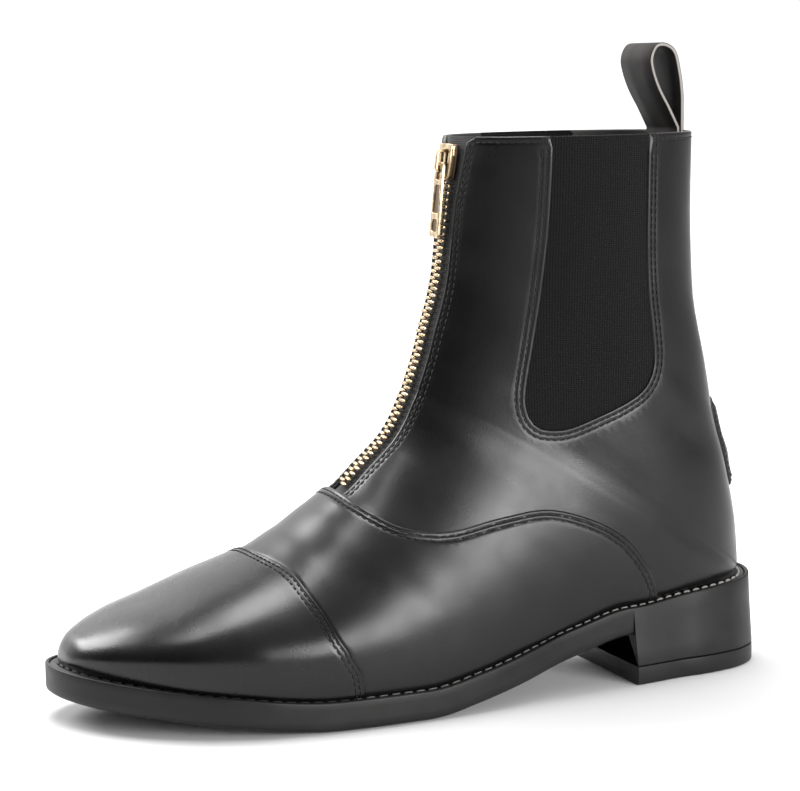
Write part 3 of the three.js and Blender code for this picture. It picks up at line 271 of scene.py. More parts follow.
def bare_point(station, turn, lift):
    """x, run and z on the upper; turn is the angle from the ridge, minus on the inner side."""
    station, turn = np.asarray(station, float), np.asarray(turn, float)
    side, angle = np.where(turn >= 0, 1, -1), np.abs(turn)
    x, run, z = base_point(station, side, lift)
    front_run, front_z = lifted(ridge_point, station, lift, 0, 1)
    front_run, front_z = np.where(station > 0, front_run, run), np.where(station > 0, front_z, z)
    ridge_x = section["ridgeX"](station) * BALL
    share = np.where(side > 0, section["outer"](station), section["inner"](station))
    follow = section["follow"](station)
    widest_x = follow * x + side * (share * SHAFT_WIDTH + (1 - follow) * lift)
    widest, above = section["widest"](station), angle <= math.pi / 2
    down = np.clip(widest - np.where(above, widest, 1 - widest) * np.cos(angle), 0, 1)
    power = np.where(above, section["round"](station), section["full"](station))
    swell = np.clip(np.sin(angle), 0, 1) ** power
    start = np.where(above, ridge_x, x)
    x = start + (widest_x - start) * swell
    return x, front_run + (run - front_run) * down, front_z + (z - front_z) * down


def off_segment(run, z, start, end):
    """Distance from a segment in the side view, and the nearest place's share along it."""
    dr, dz = end[0] - start[0], end[1] - start[1]
    run, z = run - start[0], z - start[1]
    t = np.clip((run * dr + z * dz) / max(dr * dr + dz * dz, 1e-9), 0, 1)
    return np.hypot(run - t * dr, z - t * dz), t


def soft_folds(x, run, z):
    """Height of the leather's soft creases, listed in the boot's own sizes."""
    out = np.zeros(np.shape(x))
    for side, run_a, z_a, run_b, z_b, width, depth in FOLDS:
        ends = (run_a * SOLE, z_a * SHAFT_HEIGHT), (run_b * SOLE, z_b * SHAFT_HEIGHT)
        off, t = off_segment(run, z, *ends)
        fade = np.sin(math.pi * (0.12 + 0.76 * t)) * smoothstep(x * side, 4, 14)
        out = out + depth * fade * np.exp(-((off / width) ** 2))
    return out


def surface(station, turn, lift):
    """Points of the dressed upper in the frame, in millimetres."""
    x, run, z = bare_point(station, turn, 0)
    x, run, z = bare_point(station, turn, lift + soft_folds(x, run, z) + sample(EVEN, station, turn))
    return np.stack([x, SOLE / 2 - run, z], axis=-1) + PLACE


# The grid over the whole upper: stations from toe to collar, turns from the inner to the outer welt.
def grid_stations():
    fine = np.linspace(0, COLLAR, 2601)
    run, z = ridge_point(fine)
    bx, brun, bz = base_point(fine, 1, 0)
    speed = np.maximum(np.hypot(np.diff(run), np.diff(z)), np.hypot(np.diff(bx), np.diff(brun)) * 0.8)
    total = np.concatenate([[0], np.cumsum(speed)])
    heel_at = total[HEEL * 100]
    foot = np.linspace(0, heel_at, int(heel_at / CELL) + 1)
    shaft = np.linspace(heel_at, total[-1], int((total[-1] - heel_at) / CELL) + 1)[1:]
    return np.interp(np.concatenate([foot, shaft]), total, fine)


S = grid_stations()
HEEL_ROW = int(np.argmin(np.abs(S - HEEL)))
COUNT = 146
T = np.linspace(-math.pi, math.pi, COUNT + 1)
SS, TT = np.meshgrid(S, T, indexing="ij")
X, RUN, Z = bare_point(SS, TT, 0)


def sample(field, station, turn):
    """Values of a grid field at any stations and turns."""
    i = np.interp(station, S, np.arange(len(S)))
    j = (np.asarray(turn) + math.pi) / (2 * math.pi) * COUNT
    i0, j0 = np.clip(i.astype(int), 0, len(S) - 2), np.clip(j.astype(int), 0, COUNT - 1)
    u, v = i - i0, j - j0
    low = field[i0, j0] * (1 - v) + field[i0, j0 + 1] * v
    high = field[i0 + 1, j0] * (1 - v) + field[i0 + 1, j0 + 1] * v
    return low * (1 - u) + high * u


def evening(window=15):
    """Lifts that take the ripples between the sections out of the heel and quarters."""
    form = np.stack([X, -RUN, Z], -1)
    index = np.arange(-window, window + 1) / window
    kernel = np.linalg.pinv(np.stack([index**k for k in range(4)], -1))[0]
    even = form.copy()
    for i in range(window, len(S) - window):
        even[i] = (form[i - window : i + window + 1] * kernel[:, None, None]).sum(0)
    raised = np.stack([a - b for a, b in zip(bare_point(SS, TT, 0.5), bare_point(SS, TT, -0.5))], -1)
    raised[..., 1] *= -1
    lift = ((even - form) * raised).sum(-1) / np.maximum((raised**2).sum(-1), 0.25)
    edge = np.where(SS < HEEL, math.pi - np.abs(TT), 9)
    fade = smoothstep(SS, 8, 12) * smoothstep(24.5 - SS, 0, 2) * smoothstep(edge, 0.03, 0.3)
    return np.clip(lift * fade * smoothstep(np.abs(TT), 0.5, 1.0), -1.5, 1.5)


EVEN = evening()


def between(a, b, share):
    """A grid place part way between two, the short way round the back seam."""
    ta, tb = a[1], b[1]
    if abs(tb - ta) > math.pi:
        ta += math.copysign(2 * math.pi, tb - ta)
    turn = ta + (tb - ta) * share
    if abs(turn) > math.pi:
        turn -= math.copysign(2 * math.pi, turn)
    return a[0] + (b[0] - a[0]) * share, turn


def contour(field, level):
    """Chains of (station, turn) along a level line of a grid field."""
    value = field - level
    value = np.where(np.abs(value) < 1e-5, 1e-5, value)
    inside = value > 0
    count = inside[:-1, :-1].astype(int) + inside[1:, :-1] + inside[:-1, 1:] + inside[1:, 1:]
    places, links = {}, {}
    for i, j in zip(*np.nonzero((count > 0) & (count < 4))):
        corners = [(i, j), (i + 1, j), (i + 1, j + 1), (i, j + 1)]
        hits = []
        for a, b in zip(corners, corners[1:] + corners[:1]):
            if inside[a] != inside[b]:
                key = (min(a, b), max(a, b))
                if key not in places:
                    a, b = key
                    share = value[a] / (value[a] - value[b])
                    places[key] = between((S[a[0]], T[a[1]]), (S[b[0]], T[b[1]]), share)
                hits.append(key)
        for a, b in zip(hits[::2], hits[1::2]):
            links.setdefault(a, []).append(b)
            links.setdefault(b, []).append(a)
    chains, used = [], set()
    for start in sorted(links, key=lambda key: (len(links[key]), key)):
        if start in used:
            continue
        chain, at = [start], start
        used.add(start)
        while True:
            onward = [key for key in links[at] if key not in used]
            if not onward:
                break
            at = onward[0]
            used.add(at)
            chain.append(at)
        if len(links[start]) == 2 and start in links[at]:
            chain.append(start)
        if len(chain) > 2:
            chains.append(np.array([places[key] for key in chain]))
    return chains


def smooth(points, divisions):
    """A curve through all the points, as the solids' outlines have."""
    points = np.array(points, float)
    at = np.linspace(0, len(points) - 1, divisions + 1)
    i = np.minimum(at.astype(int), len(points) - 2)
    t = (at - i)[:, None]
    p1, p2 = points[i], points[i + 1]
    p0 = points[np.maximum(i - 1, 0)]
    p3 = points[np.minimum(i + 2, len(points) - 1)]
    v0, v1 = (p2 - p0) / 2, (p3 - p1) / 2
    return (2 * p1 - 2 * p2 + v0 + v1) * t**3 + (3 * p2 - 3 * p1 - 2 * v0 - v1) * t**2 + v0 * t + p1


def side_field(points):
    """Side-view signed distance, over the grid, inside an outline of run and height."""
    best, inside = np.full(RUN.shape, 1e9), np.zeros(RUN.shape, bool)
    for start, end in zip(points, np.roll(points, -1, axis=0)):
        best = np.minimum(best, off_segment(RUN, Z, start, end)[0])
        if start[1] != end[1]:
            crossing = start[0] + (Z - start[1]) * (end[0] - start[0]) / (end[1] - start[1])
            inside ^= ((start[1] > Z) != (end[1] > Z)) & (RUN < crossing)
    return np.where(inside, best, -best)


def laid_out(field, reach=14.0):
    """The same field with its distances measured over the surface from its zero line."""
    lines = [surface(c[:, 0], c[:, 1], 0) for c in contour(field, 0)]
    knots = np.concatenate([a[:-1] + (a[1:] - a[:-1]) * k / 4 for a in lines for k in range(4)])
    here = surface(SS, TT, 0)
    near = np.abs(field) < reach
    spots = here[near]
    best = np.full(len(spots), 1e9)
    for part in np.array_split(knots, max(len(knots) // 60, 1)):
        gaps = spots[:, None, :] - part[None]
        best = np.minimum(best, np.sqrt((gaps**2).sum(-1)).min(1))
    out = np.sign(field) * reach
    out[near] = np.sign(field[near]) * np.minimum(best, reach)
    return out


# Lengths up the zip, and fields over the grid, positive inside each region
ZIP_STATIONS = np.linspace(THROAT - 0.28, COLLAR, 800)
ZIP_LENGTHS = np.concatenate([[0], np.cumsum(np.hypot(*np.diff(ridge_point(ZIP_STATIONS))))])
ZIP_LENGTH = float(ZIP_LENGTHS[-1])


def station_at(length):
    return np.interp(length, ZIP_LENGTHS, ZIP_STATIONS)


def slot_half(length):
    widening = ZIP_LENGTH - 2.4 * SLIDER_LENGTH
    t = np.clip((length - widening) / (ZIP_LENGTH - widening), 0, 1)
    c = np.clip((length - ZIP_LENGTH + CORNER) / CORNER, 0, 1)
    return (ZIP_SLOT + (ZIP_TOP - ZIP_SLOT) * t * t) / 2 + CORNER * (1 - np.sqrt(np.maximum(1 - c * c, 0)))


def slot_field(margin=0.0, square=False):
    """Distance outside the opening beside the zip."""
    foot_run, foot_z = ridge_point(float(ZIP_STATIONS[0]))
    run, z = ridge_point(SS)
    below = -np.hypot(run - foot_run, z - foot_z)
    length = np.where(SS < ZIP_STATIONS[0], below, np.interp(SS, ZIP_STATIONS, ZIP_LENGTHS))
    half = np.minimum(slot_half(length), ZIP_TOP / 2) if square else slot_half(length)
    across = np.abs(X - section["ridgeX"](SS) * BALL) - half - margin
    along = -length - margin
    away = (np.abs(TT) > 1.3) * 40.0
    outside = np.hypot(np.maximum(across, 0), np.maximum(along, 0))
    return outside + np.minimum(np.maximum(across, along), 0) + away


collar_back = float(back_point(float(COLLAR))[0])
gore_line = smooth([(collar_back + a * SHAFT_DEPTH, up * SHAFT_HEIGHT) for a, up in GORE_ROWS], 110)
gore_line = np.concatenate([[gore_line[0] + (0, 6)], gore_line, [gore_line[-1] + (0, 6)]])
GORE = side_field(gore_line)
SLOT = slot_field()
RIM = SHAFT_HEIGHT - Z
vamp_line = smooth([(a * SOLE, up * THROAT_HEIGHT) for a, up in VAMP_ROWS], 60)
past_toe = [(SOLE + 6, -6), (SOLE + 6, THROAT_HEIGHT + 12), (vamp_line[0][0], THROAT_HEIGHT + 12)]
VAMP = laid_out(side_field(np.concatenate([past_toe, vamp_line, [(vamp_line[-1][0], -6)]])))
cap_edge = curve(*zip(*CAP_ROWS))
CAP = laid_out(RUN - cap_edge(TT) * SOLE)


def mesh_object(name, points, faces, slots, groups=None, sharp=42):
    """A smooth-shaded piece from millimetre points; groups gives each face's material."""
    mesh = bpy.data.meshes.new(name)
    mesh.from_pydata([tuple(p) for p in np.asarray(points) * MM], [], [tuple(f) for f in faces])
    mesh.validate()
    for slot in slots:
        mesh.materials.append(slot)
    if groups is not None:
        mesh.polygons.foreach_set("material_index", groups)
    mesh.shade_smooth()
    mesh.set_sharp_from_angle(angle=math.radians(sharp))
    mesh.update()
    piece = bpy.data.objects.new(name, mesh)
    bpy.context.scene.collection.objects.link(piece)
    return piece


def finished(piece, slot, *nodes, body="boot"):
    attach(piece, body)
    if nodes:
        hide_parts(*nodes)
    return piece


def panel(name, field, levels, outer, inner, materials, rows=slice(None)):
    """A layer of the upper over the region where field is above 0, with walls round its edges.

    outer and inner give the lifts of its faces: a number, or a function of station, turn and distance.
    """
    values, first = field[rows], rows.start or 0
    places, value, key_of = [], [], {}

    def vertex(i, j):
        if j == COUNT and first + i >= HEEL_ROW:
            j = 0
        key = (i, j)
        if key not in key_of:
            key_of[key] = len(places)
            places.append((S[first + i], T[j]))
            v = values[i, j]
            for level in levels:
                if abs(v - level) < 1e-4:
                    v = level + 1e-4
            value.append(v)
        return key_of[key]

    def cut(a, b, level):
        key = (min(a, b), max(a, b), level)
        if key not in key_of:
            a, b = key[:2]
            key_of[key] = len(places)
            places.append(between(places[a], places[b], (level - value[a]) / (value[b] - value[a])))
            value.append(level)
        return key_of[key]

    faces = []
    for i in range(len(values) - 1):
        block = values[i : i + 2]
        for j in range(COUNT):
            cell = block[:, j : j + 2]
            if cell.max() <= levels[0]:
                continue
            poly = [vertex(i, j), vertex(i, j + 1), vertex(i + 1, j + 1), vertex(i + 1, j)]
            if cell.min() > levels[-1]:
                faces.append(poly)
                continue
            for n, level in enumerate(levels):
                low, high = [], []
                for a, b in zip(poly, poly[1:] + poly[:1]):
                    (high if value[a] >= level else low).append(a)
                    if (value[a] - level) * (value[b] - level) < 0:
                        c = cut(a, b, level)
                        low.append(c)
                        high.append(c)
                    elif value[a] == level and value[b] < level:
                        low.append(a)
                if n and len(set(low)) > 2:
                    faces.append(low)
                poly = high
                if len(poly) < 3:
                    break
            if len(set(poly)) > 2:
                faces.append(poly)
    faces = [[v for k, v in enumerate(f) if v != f[k - 1]] for f in faces]
    faces = [f for f in faces if len(f) > 2]
    station, turn = np.array(places).T
    lifts = [side(station, turn, np.array(value)) if callable(side) else side for side in (outer, inner)]
    top, low = (surface(station, turn, lift) for lift in lifts)
    edges = {(a, b): True for f in faces for a, b in zip(f, f[1:] + f[:1])}
    n = len(places)
    walls = [[b, a, a + n, b + n] for a, b in edges if (b, a) not in edges]
    shell = faces + [[v + n for v in reversed(f)] for f in faces] + walls
    groups = [0] * len(faces) + [1] * len(faces) + [2] * len(walls)
    return mesh_object(name, np.concatenate([top, low]), shell, materials, groups)


def rounded(distance, radius):
    """How far an edge of this radius falls away at a distance in from it."""
    d = np.clip(radius - distance, 0, radius)
    return radius - np.sqrt(np.maximum(radius**2 - d**2, 0))


def channel(distance, row, depth=0.22, width=0.55):
    return depth * np.exp(-(((distance - row) / width) ** 2))


def lengths_along(spots):
    return np.concatenate([[0], np.cumsum(np.linalg.norm(np.diff(spots, axis=0), axis=1))])


def spot_at(length, total, spots):
    return np.stack([np.interp(length, total, spots[:, k]) for k in range(3)], -1)


class Stitches:
    """Thread stitches gathered into one piece."""

    def __init__(self):
        self.points, self.faces = [], []

    def add(self, centre, along, normal, length, radius, arch=0.6):
        """One stitch, thickest in the middle, with its ends going down into the leather."""
        along = along / np.linalg.norm(along)
        across = np.cross(normal, along)
        across /= np.linalg.norm(across)
        normal = np.cross(along, across)
        half = [(0.5, 0.25, -1.3), (0.42, 0.85, -0.5), (0.2, 1.0, 0.1)]
        sides, start, rows = 6, sum(len(p) for p in self.points), []
        for u, size, rise in [(-u, size, rise) for u, size, rise in half] + half[::-1]:
            for a in np.arange(sides) * 2 * math.pi / sides:
                rows.append(centre + along * (u * length) + across * (math.cos(a) * radius * size)
                            + normal * ((math.sin(a) * size + rise * arch) * radius))
        self.points.append(np.array(rows))
        last = start + len(rows) - sides
        for o in range(start, last, sides):
            for k in range(sides):
                m = (k + 1) % sides
                self.faces.append([o + k, o + m, o + sides + m, o + sides + k])
        self.faces.append([start + k for k in reversed(range(sides))])
        self.faces.append([last + k for k in range(sides)])

    def row(self, field, level, lift, pitch=2.9, length=2.1, radius=0.27, keep=None):
        """A row along a level line of a field, kept where keep(station, turn) is true."""
        for chain in contour(field, level):
            spots = surface(chain[:, 0], chain[:, 1], lift)
            total = lengths_along(spots)
            if total[-1] < 2 * pitch:
                continue
            turn = np.unwrap(chain[:, 1])
            at = np.arange(pitch / 2, total[-1], pitch)
            s, t = np.interp(at, total, chain[:, 0]), np.interp(at, total, turn)
            wrapped = (t + math.pi) % (2 * math.pi) - math.pi
            centre = surface(s, wrapped, lift)
            high = surface(s, wrapped, lift + 0.5)
            ahead, behind = (spot_at(at + step, total, spots) for step in (0.4, -0.4))
            good = np.ones(len(at), bool) if keep is None else keep(s, wrapped)
            for k in np.nonzero(good)[0]:
                normal = high[k] - centre[k]
                normal /= max(np.linalg.norm(normal), 1e-9)
                self.add(centre[k], ahead[k] - behind[k], normal, length, radius)

    def piece(self, name, material, slot):
        piece = mesh_object(name, np.concatenate(self.points), self.faces, [material], sharp=80)
        return finished(piece, slot)


# Materials
def material(name, base, roughness, **sockets):
    made = bpy.data.materials.new(name)
    made.use_nodes = True
    shader = made.node_tree.nodes["Principled BSDF"]
    shader.inputs["Base Color"].default_value = (*base, 1)
    shader.inputs["Roughness"].default_value = roughness
    for socket, value in sockets.items():
        shader.inputs[socket.replace("_", " ")].default_value = value
    return made


def node(made, kind, **values):
    added = made.node_tree.nodes.new(kind)
    for key, value in values.items():
        if key in added.inputs:
            added.inputs[key].default_value = value
        else:
            setattr(added, key, value)
    return added


def own_place(made):
    """The place in the boot's own frame, in metres."""
    return node(made, "ShaderNodeTexCoord").outputs["Object"]


def noise(made, scale, detail=4.0):
    """A noise texture; scale is per metre."""
    cloud = node(made, "ShaderNodeTexNoise", Scale=scale, Detail=detail)
    made.node_tree.links.new(own_place(made), cloud.inputs["Vector"])
    return cloud.outputs["Fac"]


def lengthwise(made):
    """How far back along the boot, in metres."""
    split = node(made, "ShaderNodeSeparateXYZ")
    made.node_tree.links.new(own_place(made), split.inputs["Vector"])
    return split.outputs["Y"]


def spread(made, source, low, high, out_low, out_high):
    ramp = node(made, "ShaderNodeMapRange")
    for key, value in (("From Min", low), ("From Max", high), ("To Min", out_low), ("To Max", out_high)):
        ramp.inputs[key].default_value = value
    made.node_tree.links.new(source, ramp.inputs["Value"])
    return ramp.outputs["Result"]


def tint(made, source, dark, light, low=0.35, high=0.65):
    """Base colour between two shades, by a texture's value."""
    mix = node(made, "ShaderNodeMix", data_type="RGBA")
    made.node_tree.links.new(spread(made, source, low, high, 0, 1), mix.inputs["Factor"])
    mix.inputs["A"].default_value, mix.inputs["B"].default_value = (*dark, 1), (*light, 1)
    shader = made.node_tree.nodes["Principled BSDF"]
    made.node_tree.links.new(mix.outputs["Result"], shader.inputs["Base Color"])


def roughen(made, source, low, high, out_low, out_high):
    shader = made.node_tree.nodes["Principled BSDF"]
    made.node_tree.links.new(spread(made, source, low, high, out_low, out_high), shader.inputs["Roughness"])


def bumpy(made, *layers):
    """Bump layers, each (height, distance in metres, strength)."""
    before = None
    for source, distance, strength in layers:
        bump = node(made, "ShaderNodeBump", Strength=strength, Distance=distance)
        made.node_tree.links.new(source, bump.inputs["Height"])
        if before:
            made.node_tree.links.new(before, bump.inputs["Normal"])
        before = bump.outputs["Normal"]
    made.node_tree.links.new(before, made.node_tree.nodes["Principled BSDF"].inputs["Normal"])


def weave(made, first, second):
    """Fine ribs both ways, the product of two waves; each is (axis, threads per metre)."""
    cross = node(made, "ShaderNodeMath", operation="MULTIPLY")
    for k, (axis, scale) in enumerate((first, second)):
        wave = node(made, "ShaderNodeTexWave", Scale=scale, bands_direction=axis)
        made.node_tree.links.new(own_place(made), wave.inputs["Vector"])
        made.node_tree.links.new(wave.outputs["Fac"], cross.inputs[k])
    return cross.outputs["Value"]


def grained(name, base, roughness, scale, strength=0.5, detail=3, **sockets):
    """A matt material with a fine bump; scale is per metre."""
    made = material(name, base, roughness, **sockets)
    bumpy(made, (noise(made, scale, detail), 0.0002, strength))
    return made


def woven(name, base, roughness, dark, light, threads, depth, **sockets):
    """Cloth with its threads in colour and in bump."""
    made = material(name, base, roughness, **sockets)
    tint(made, weave(made, *threads), dark, light, 0, 1)
    bumpy(made, (weave(made, *threads), depth, 0.6))
    return made


def leather(name, base, roughness, coat):
    made = material(name, base, roughness, Coat_Weight=coat, Coat_Roughness=0.28, Specular_IOR_Level=0.33)
    patches = noise(made, 22, 3)
    tint(made, patches, [c * 0.8 for c in base], [c * 1.35 for c in base])
    roughen(made, noise(made, 60, 5), 0.3, 0.7, roughness - 0.05, roughness + 0.06)
    bumpy(made, (noise(made, 28, 2), 0.0016, 0.012), (noise(made, 260, 4), 0.0003, 0.05),
          (noise(made, 1500, 3), 0.0001, 0.42))
    return made


HIDE = leather("black_leather", (0.0032, 0.0031, 0.0032), 0.32, 0.1)
CAP_HIDE = leather("polished_leather", (0.0026, 0.0025, 0.0026), 0.27, 0.1)
RAW = grained("leather_cut_edge", (0.05, 0.047, 0.045), 0.7, 1800)
RAW_LIGHT = grained("collar_cut_edge", (0.16, 0.15, 0.145), 0.75, 1800)
LINING = grained("lining", (0.022, 0.021, 0.021), 0.7, 900, 0.4, 4)
tint(LINING, noise(LINING, 30), (0.016, 0.015, 0.015), (0.03, 0.028, 0.027))
ELASTIC = woven("elastic", (0.005, 0.005, 0.0055), 0.9, (0.0015, 0.0015, 0.002), (0.011, 0.011, 0.0115),
                (("Y", 300), ("Z", 420)), 0.0004, Specular_IOR_Level=0.2, Sheen_Weight=0.05)
THREAD = material("thread", (0.012, 0.0115, 0.011), 0.6, Specular_IOR_Level=0.3)
WELT_THREAD = material("welt_thread", (0.2, 0.19, 0.185), 0.6)
tint(WELT_THREAD, lengthwise(WELT_THREAD), (0.035, 0.033, 0.032), (0.27, 0.26, 0.25), -0.06, 0.06)
RUBBER = material("sole_rubber", (0.007, 0.007, 0.007), 0.42, Specular_IOR_Level=0.28)
tint(RUBBER, noise(RUBBER, 45, 5), (0.006, 0.006, 0.006), (0.011, 0.0108, 0.0105))
roughen(RUBBER, noise(RUBBER, 90, 6), 0.3, 0.7, 0.36, 0.5)
bumpy(RUBBER, (noise(RUBBER, 1100, 4), 0.0001, 0.3), (noise(RUBBER, 70, 2), 0.0006, 0.06))
# Underside rubber: painted shade, a near-black copy of the sole rubber with no reflection, so the sole's
# underside and heel breast stay black as if in shadow
SHADED_TREAD = grained("tread_rubber_painted_shade", (0.002, 0.002, 0.002), 0.9, 900, 0.4, Specular_IOR_Level=0.0)
WELT = grained("welt", (0.018, 0.0175, 0.017), 0.5, 900, 0.3)
BRASS = material("brass", (0.62, 0.42, 0.17), 0.28, Metallic=1.0)
tint(BRASS, noise(BRASS, 420, 4), (0.34, 0.25, 0.145), (0.72, 0.57, 0.37))
roughen(BRASS, noise(BRASS, 300, 4), 0.3, 0.7, 0.2, 0.42)
DARK_BRASS = material("aged_brass", (0.13, 0.09, 0.055), 0.45, Metallic=1.0)
TAPE_CLOTH = woven("zip_tape", (0.045, 0.045, 0.047), 0.85, (0.03, 0.03, 0.032), (0.075, 0.075, 0.078),
                   (("X", 420), ("Z", 420)), 0.0003)
STRAP_CLOTH = grained("strap", (0.009, 0.0075, 0.0065), 0.7, 1200, 0.5, 4, Specular_IOR_Level=0.3)
tint(STRAP_CLOTH, noise(STRAP_CLOTH, 120, 5), (0.007, 0.0055, 0.005), (0.015, 0.012, 0.0105))
STRAP_EDGE = grained("strap_cut_edge", (0.30, 0.28, 0.26), 0.8, 1600)

# The upper: quarters and shaft, open at the collar, beside the zip and in the gores
ROWS = (1.9, 3.8)  # stitch rows from an edge
EDGE_LEVELS = [0.0, 0.12, 0.35, 0.8, 1.35, 1.9, 2.45, 3.2, 3.8, 4.4, 5.2]
UPPER = np.minimum(np.minimum(SLOT, -GORE), RIM + 1e-3)


def upper_face(station, turn, distance):
    slot, gore, rim = (sample(f, station, turn) for f in (SLOT, -GORE, RIM))
    low = -rounded(distance, 0.75)
    for row in ROWS:
        low = low - channel(np.minimum(gore, slot), row + 0.2)
    return low - channel(rim, 2.3, 0.15) * (np.minimum(gore, slot) > 5)


def upper_lining(station, turn, distance):
    return -WALL + rounded(distance, 0.5)


upper = panel("boot_upper", UPPER, EDGE_LEVELS, upper_face, upper_lining, [HIDE, LINING, RAW_LIGHT])
finished(upper, "leather", "upper")


# Vamp laid over the quarters, and the toe cap over the vamp
def vamp_face(station, turn, distance):
    body = GAP + OVERLAY - rounded(distance, 0.9)
    ridge = 0.28 * np.exp(-(((distance - 2.85) / 0.6) ** 2))
    return body + ridge - channel(distance, 1.9, 0.3) - channel(distance, 3.8, 0.3)


vamp_region = np.minimum(VAMP, 4.0 - CAP)
vamp = panel("boot_vamp", vamp_region, EDGE_LEVELS, vamp_face, 0.08, [HIDE, RAW, HIDE], slice(0, HEEL_ROW + 4))
finished(vamp, "leather", "vamp")


def cap_face(station, turn, distance):
    body = GAP + OVERLAY + CAP_STEP - rounded(distance, 0.8)
    return body - channel(distance, 1.7, 0.3) - channel(distance, 3.5, 0.3)


def cap_under(station, turn, distance):
    return GAP + OVERLAY + 0.02 - 1.2 * smoothstep(distance, 5, 9)


cap_hides = [CAP_HIDE, RAW, CAP_HIDE]
cap = panel("boot_toe_cap", CAP, EDGE_LEVELS, cap_face, cap_under, cap_hides, slice(0, HEEL_ROW))
finished(cap, "cap_leather", "toe_cap")


# Elastic gores, a little below the leather's face, with a hem along the top
def elastic_face(station, turn, distance):
    rim = sample(RIM, station, turn)
    hem = 0.35 * smoothstep(-rim, -3.2, -2.6)
    puff = 0.3 * smoothstep(distance, 2.6, 16)
    return -0.75 + hem + puff - rounded(distance, 0.4)


for side, node_name in ((1, "elastic_gore_outer"), (-1, "elastic_gore_inner")):
    region = np.minimum(np.where(TT * side > 0, GORE, -20) + 2.6, RIM + 1e-3)
    gore = panel("boot_" + node_name, region, [0.0, 0.2, 0.5, 2.6, 3.2], elastic_face, -1.95,
                 [ELASTIC] * 3, slice(HEEL_ROW - 30, None))
    finished(gore, "elastic", node_name)

# Padded band at the back of the heel
spur_up = SPUR_HEIGHT / 2 - np.abs(Z - SPUR_FOOT - SPUR_HEIGHT / 2)
spur = np.minimum(SPUR_WIDTH / 2 - np.abs(X), spur_up)
spur = np.where((np.abs(TT) > 2.0) & (SS > HEEL), spur, -20.0)


def spur_face(station, turn, distance):
    x, run, z = bare_point(station, turn, 0)
    ribs = 0.28 * np.cos(2 * math.pi * (z - SPUR_FOOT) / 3.6)
    crown = (SPUR_PROUD - 0.5) * np.sqrt(smoothstep(distance, -0.4, 6.5))
    return GAP + 0.5 + crown + ribs * smoothstep(distance, 0.8, 2.5)


spur_rest = panel("boot_spur_rest", spur, [0.0, 0.25, 0.7, 1.3], spur_face, 0.05, [HIDE, RAW, HIDE],
                  slice(HEEL_ROW, None))
finished(spur_rest, "leather", "spur_rest")

# Stitches
stitches = Stitches()
for level in (1.7, 3.5):
    stitches.row(CAP, level, GAP + OVERLAY + CAP_STEP - 0.08, pitch=2.9)
for level in (1.9, 3.8):
    stitches.row(VAMP, level, GAP + OVERLAY - 0.08, pitch=3.3, length=2.4,
                 keep=lambda s, t: sample(CAP, s, t) < -0.5)
for level in (2.1, 4.0):
    stitches.row(SLOT, level, -0.05,
                 keep=lambda s, t: (sample(VAMP, s, t) < -0.5) & (sample(RIM, s, t) > 2.2))
    stitches.row(-GORE, level, -0.05, keep=lambda s, t: sample(RIM, s, t) > 1.2)
stitches.row(RIM, 2.3, -0.02, keep=lambda s, t: (sample(-GORE, s, t) > 4.6) & (sample(SLOT, s, t) > 4.6))
stitches.row(spur, 0.9, GAP + 1.6, pitch=2.6, length=1.9)
stitches.piece("boot_stitches", THREAD, "leather")


# Sole, heel and welt as stacked rings
def sole_places(front=112, heel=44):
    breast = float(turn_of(HEEL_LENGTH))
    at_heel = np.linspace(0, breast, heel + 1)
    at_front = np.linspace(breast, 1, front + 1)
    turn = np.concatenate([at_heel, at_front])
    is_heel = np.arange(len(turn)) <= heel
    flare = np.where(is_heel, BACK_FLARE + (HEEL_FLARE - BACK_FLARE) * turn / breast, 0)
    return turn, is_heel, flare


def ring(turn, inset, z_of):
    sides = []
    for side in (1, -1):
        x, run = edge_point(turn, side, inset)
        sides.append(np.stack([x, SOLE / 2 - run, np.broadcast_to(z_of(run), x.shape)], -1) + PLACE)
    return sides


def ring_stack(name, rings, materials, closed=True, sharp=50):
    """A solid between rings from the lowest to the highest; open ones join the last to the first.

    The last material goes on the underside of a closed one.
    """
    count = len(rings[0][0])
    points = np.concatenate([np.concatenate(r) for r in rings])
    faces, under, last = [], set(), len(rings) - 1
    for a, b in [(k, k + 1) for k in range(last)] + ([] if closed else [(last, 0)]):
        for i in range(count - 1):
            o, n = a * 2 * count, b * 2 * count
            faces.append([o + i, n + i, n + i + 1, o + i + 1])
            faces.append([o + count + i + 1, n + count + i + 1, n + count + i, o + count + i])
        o, n = a * 2 * count + count - 1, b * 2 * count + count - 1
        faces.append([o, n, n + count, o + count])
    if closed:
        last *= 2 * count
        for i in range(count - 1):
            under.add(len(faces))
            faces.append([count + i, i, i + 1, count + i + 1])
            faces.append([last + count + i + 1, last + i + 1, last + i, last + count + i])
    keep, groups = [], []
    for number, f in enumerate(faces):
        spots = points[f]
        distinct = [v for k, v in enumerate(f) if np.linalg.norm(spots[k] - spots[k - 1]) > 1e-4]
        if len(distinct) > 2:
            keep.append(distinct)
            groups.append(len(materials) - 1 if number in under else 0)
    return mesh_object(name, points, keep, materials, groups, sharp=sharp)


turn, is_heel, flare = sole_places()
band_top = TOP_LIFT + GAP
HEEL_ROUND, RIM_ROUND = 0.5, 0.7  # rounded edges at the foot of the heel block and along the rim


def tread(run):
    return np.maximum(underside(run) - EDGE_BEVEL, 0)


